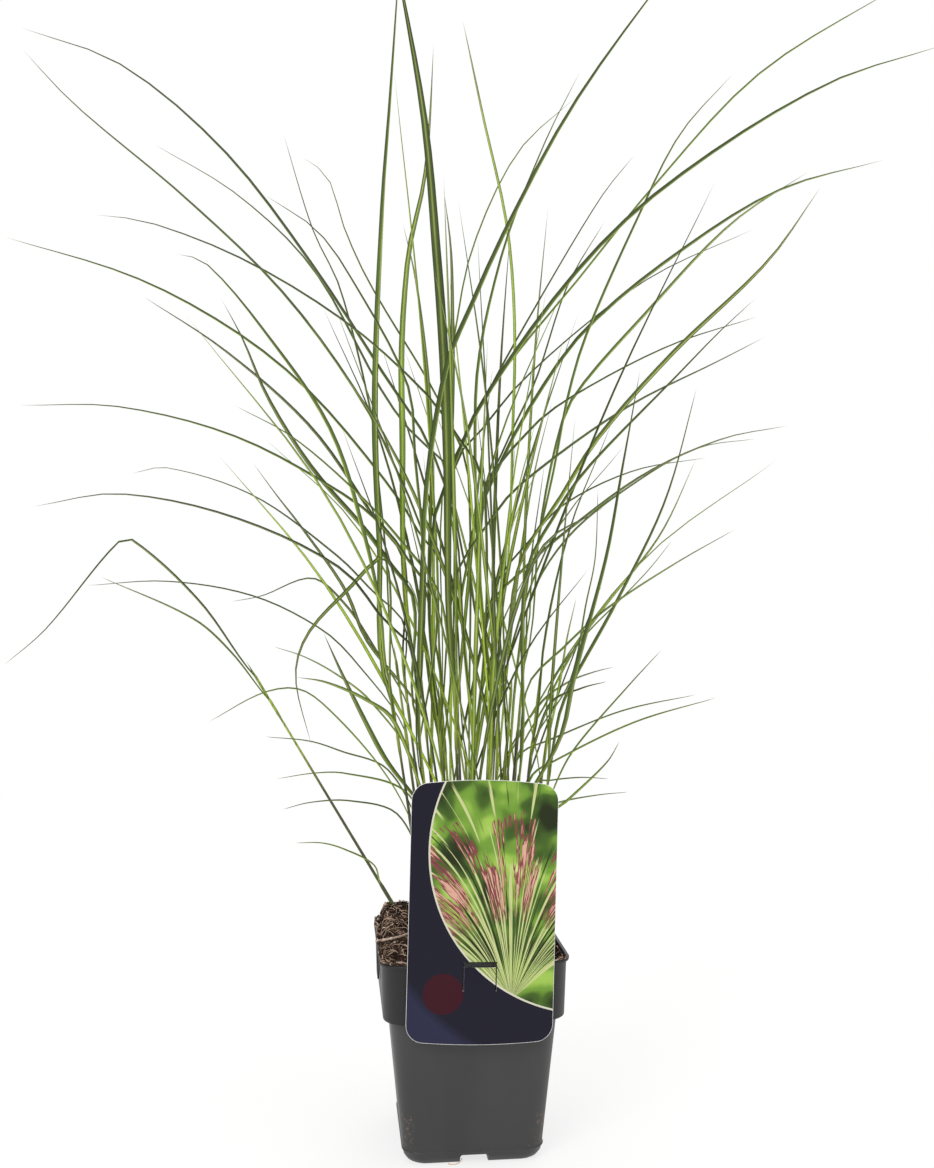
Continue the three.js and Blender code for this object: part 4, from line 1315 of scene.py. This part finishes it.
def laidBlade(templates, leaf, kind, tone):
    size = "long" if leaf["long"] else "middle"
    steps = leaves["steps"][size]
    course = curveThrough(leaf, steps)
    taper, fullness = leaves[kind]
    rings = []
    for step, point in enumerate(course):
        reached = step / steps
        way = (course[min(step + 1, steps)] - course[max(step - 1, 0)]).normalized()
        side = Vector((-leaf["heading"].y, leaf["heading"].x, 0))
        side.rotate(Quaternion(way, leaf["twist"][0] + leaf["twist"][1] * reached))
        side = (side - way * side.dot(way)).normalized()
        face = way.cross(side)
        wide = min(1, leaves["widthAtRoot"] + leaves["widening"] * reached)
        wide *= 1 - reached ** taper
        half = leaf["width"] / 2 * wide * fullness
        keel = leaves["keel"] * (leaves["tipKeel"] + (1 - leaves["tipKeel"]) * wide)
        rings.append((point, side * half, face * half * leaves["fold"], face * keel))
    blade = copied(templates[size])
    for vertex in blade.data.vertices:
        point, side, fold, keel = rings[round(vertex.co.z * steps)]
        across, above, _ = vertex.co
        place = point + side * across + fold * (abs(across) - 0.5)
        if above < -0.5:
            place -= keel
        vertex.co = place * mm
    return toned(blade, "bladeTone", "vector", tone)


# a stem of rolled sheaths, a little thicker below each leaf and thinner above it
def laidStem(template, tiller, tint):
    stem = copied(template)
    steps = leaves["stemSteps"]
    high = tiller["height"]
    starts = sorted(leaf["start"] for leaf in tiller["leaves"])
    heights = [-clump["stemDepth"], 0]
    heights += [start + off for start in starts for off in leaves["collarRings"]]
    while len(heights) < steps:
        heights.append(high * (len(heights) / steps))
    heights = sorted(min(height, high) for height in heights[:steps]) + [high + clump["stemTip"]]
    foot, top = clump["stemRadii"]
    way = stemWay(tiller).to_track_quat("Z", "Y")
    low, over = leaves["collarSpan"]
    radii = []
    for height in heights:
        radius = (foot + (top - foot) * max(height, 0) / high) * leaves["stemWidth"]
        wrapped = any(start + low < height < start + over for start in starts)
        radii.append(radius + (leaves["collar"] if wrapped else 0))
    radii[-1] = 0
    for vertex in stem.data.vertices:
        step = round(vertex.co.z * steps)
        out = way @ Vector((vertex.co.x, vertex.co.y, 0))
        vertex.co = (stemPoint(tiller, heights[step]) + out * radii[step]) * mm
    return toned(stem, "bladeTone", "vector", [tint, 0, 0])


# a tube whose sides know their place: across, along, and upper side or underside
def grassTemplate(name, sides, steps, finish, materials):
    template = buildTube(name, sides, steps)
    mesh = template.data
    for material in materials:
        mesh.materials.append(material)
    place = mesh.attributes.new("bladePlace", "FLOAT_VECTOR", "CORNER")
    for polygon in mesh.polygons:
        polygon.material_index = finish
        upper = 1 if polygon.normal.y > 0 else 0
        for loop in polygon.loop_indices:
            co = mesh.vertices[mesh.loops[loop].vertex_index].co
            place.data[loop].vector = (co.x / 2, co.z, upper)
    mesh.attributes.new("bladeTone", "FLOAT_VECTOR", "POINT")
    return template


# the kind of a leaf, with its tint and its age
def lookOf(leaf, tint, rng):
    tip = leaf["points"][-1]
    if leaf["long"]:
        start, span = leaves["aging"]
        age = min(1, max(0, (math.hypot(tip.x, tip.y) - start) / span)) * rng.uniform(*leaves["ages"])
    spread = leaves["tintSpread"]
    tint = min(1, max(0, tint + rng.uniform(-spread, spread)))
    if not leaf["long"]:
        return "middle", [tint, 0, 0]
    if tip.z > leaves["tallFrom"]:
        return "tall", [leaves["tallTint"], 0, 0]
    # the long ones are more alike in colour
    usual, share = leaves["longTint"]
    return "side" if tip.z < leaves["sideUpTo"] else "long", [usual + share * (tint - 0.5), age, 0]


def buildGrass():
    tillers = growClump()
    materials = [waxyBlade(), rolledSheath()]
    templates = {
        size: grassTemplate(size + "_blade", 4, steps, 0, materials)
        for size, steps in leaves["steps"].items()
    }
    culm = grassTemplate("culm", leaves["stemSides"], leaves["stemSteps"], 1, materials)
    rng = random.Random(leaves["seed"])
    for tiller in tillers:
        tint = rng.uniform(*leaves["tints"])
        pieces = [laidStem(culm, tiller, tint)]
        pieces += [laidBlade(templates, leaf, *lookOf(leaf, tint, rng)) for leaf in tiller["leaves"]]
        piece = joined(pieces, tiller["node"].replace("_", ""))
        smoothByAngle(piece, 30)
        dress(piece, tiller["node"], materials)
    for template in (*templates.values(), culm):
        bpy.data.objects.remove(template)


buildCamera()
buildStudio()
print("camera and studio stand")
buildPot()
print("pot built")
scatterBits(buildSoilBall())
print("soil filled in, with bark and coir on it")
buildLabel()
buildDeadStem()
print("label and dead stem built")
buildGrass()
print("grass built")
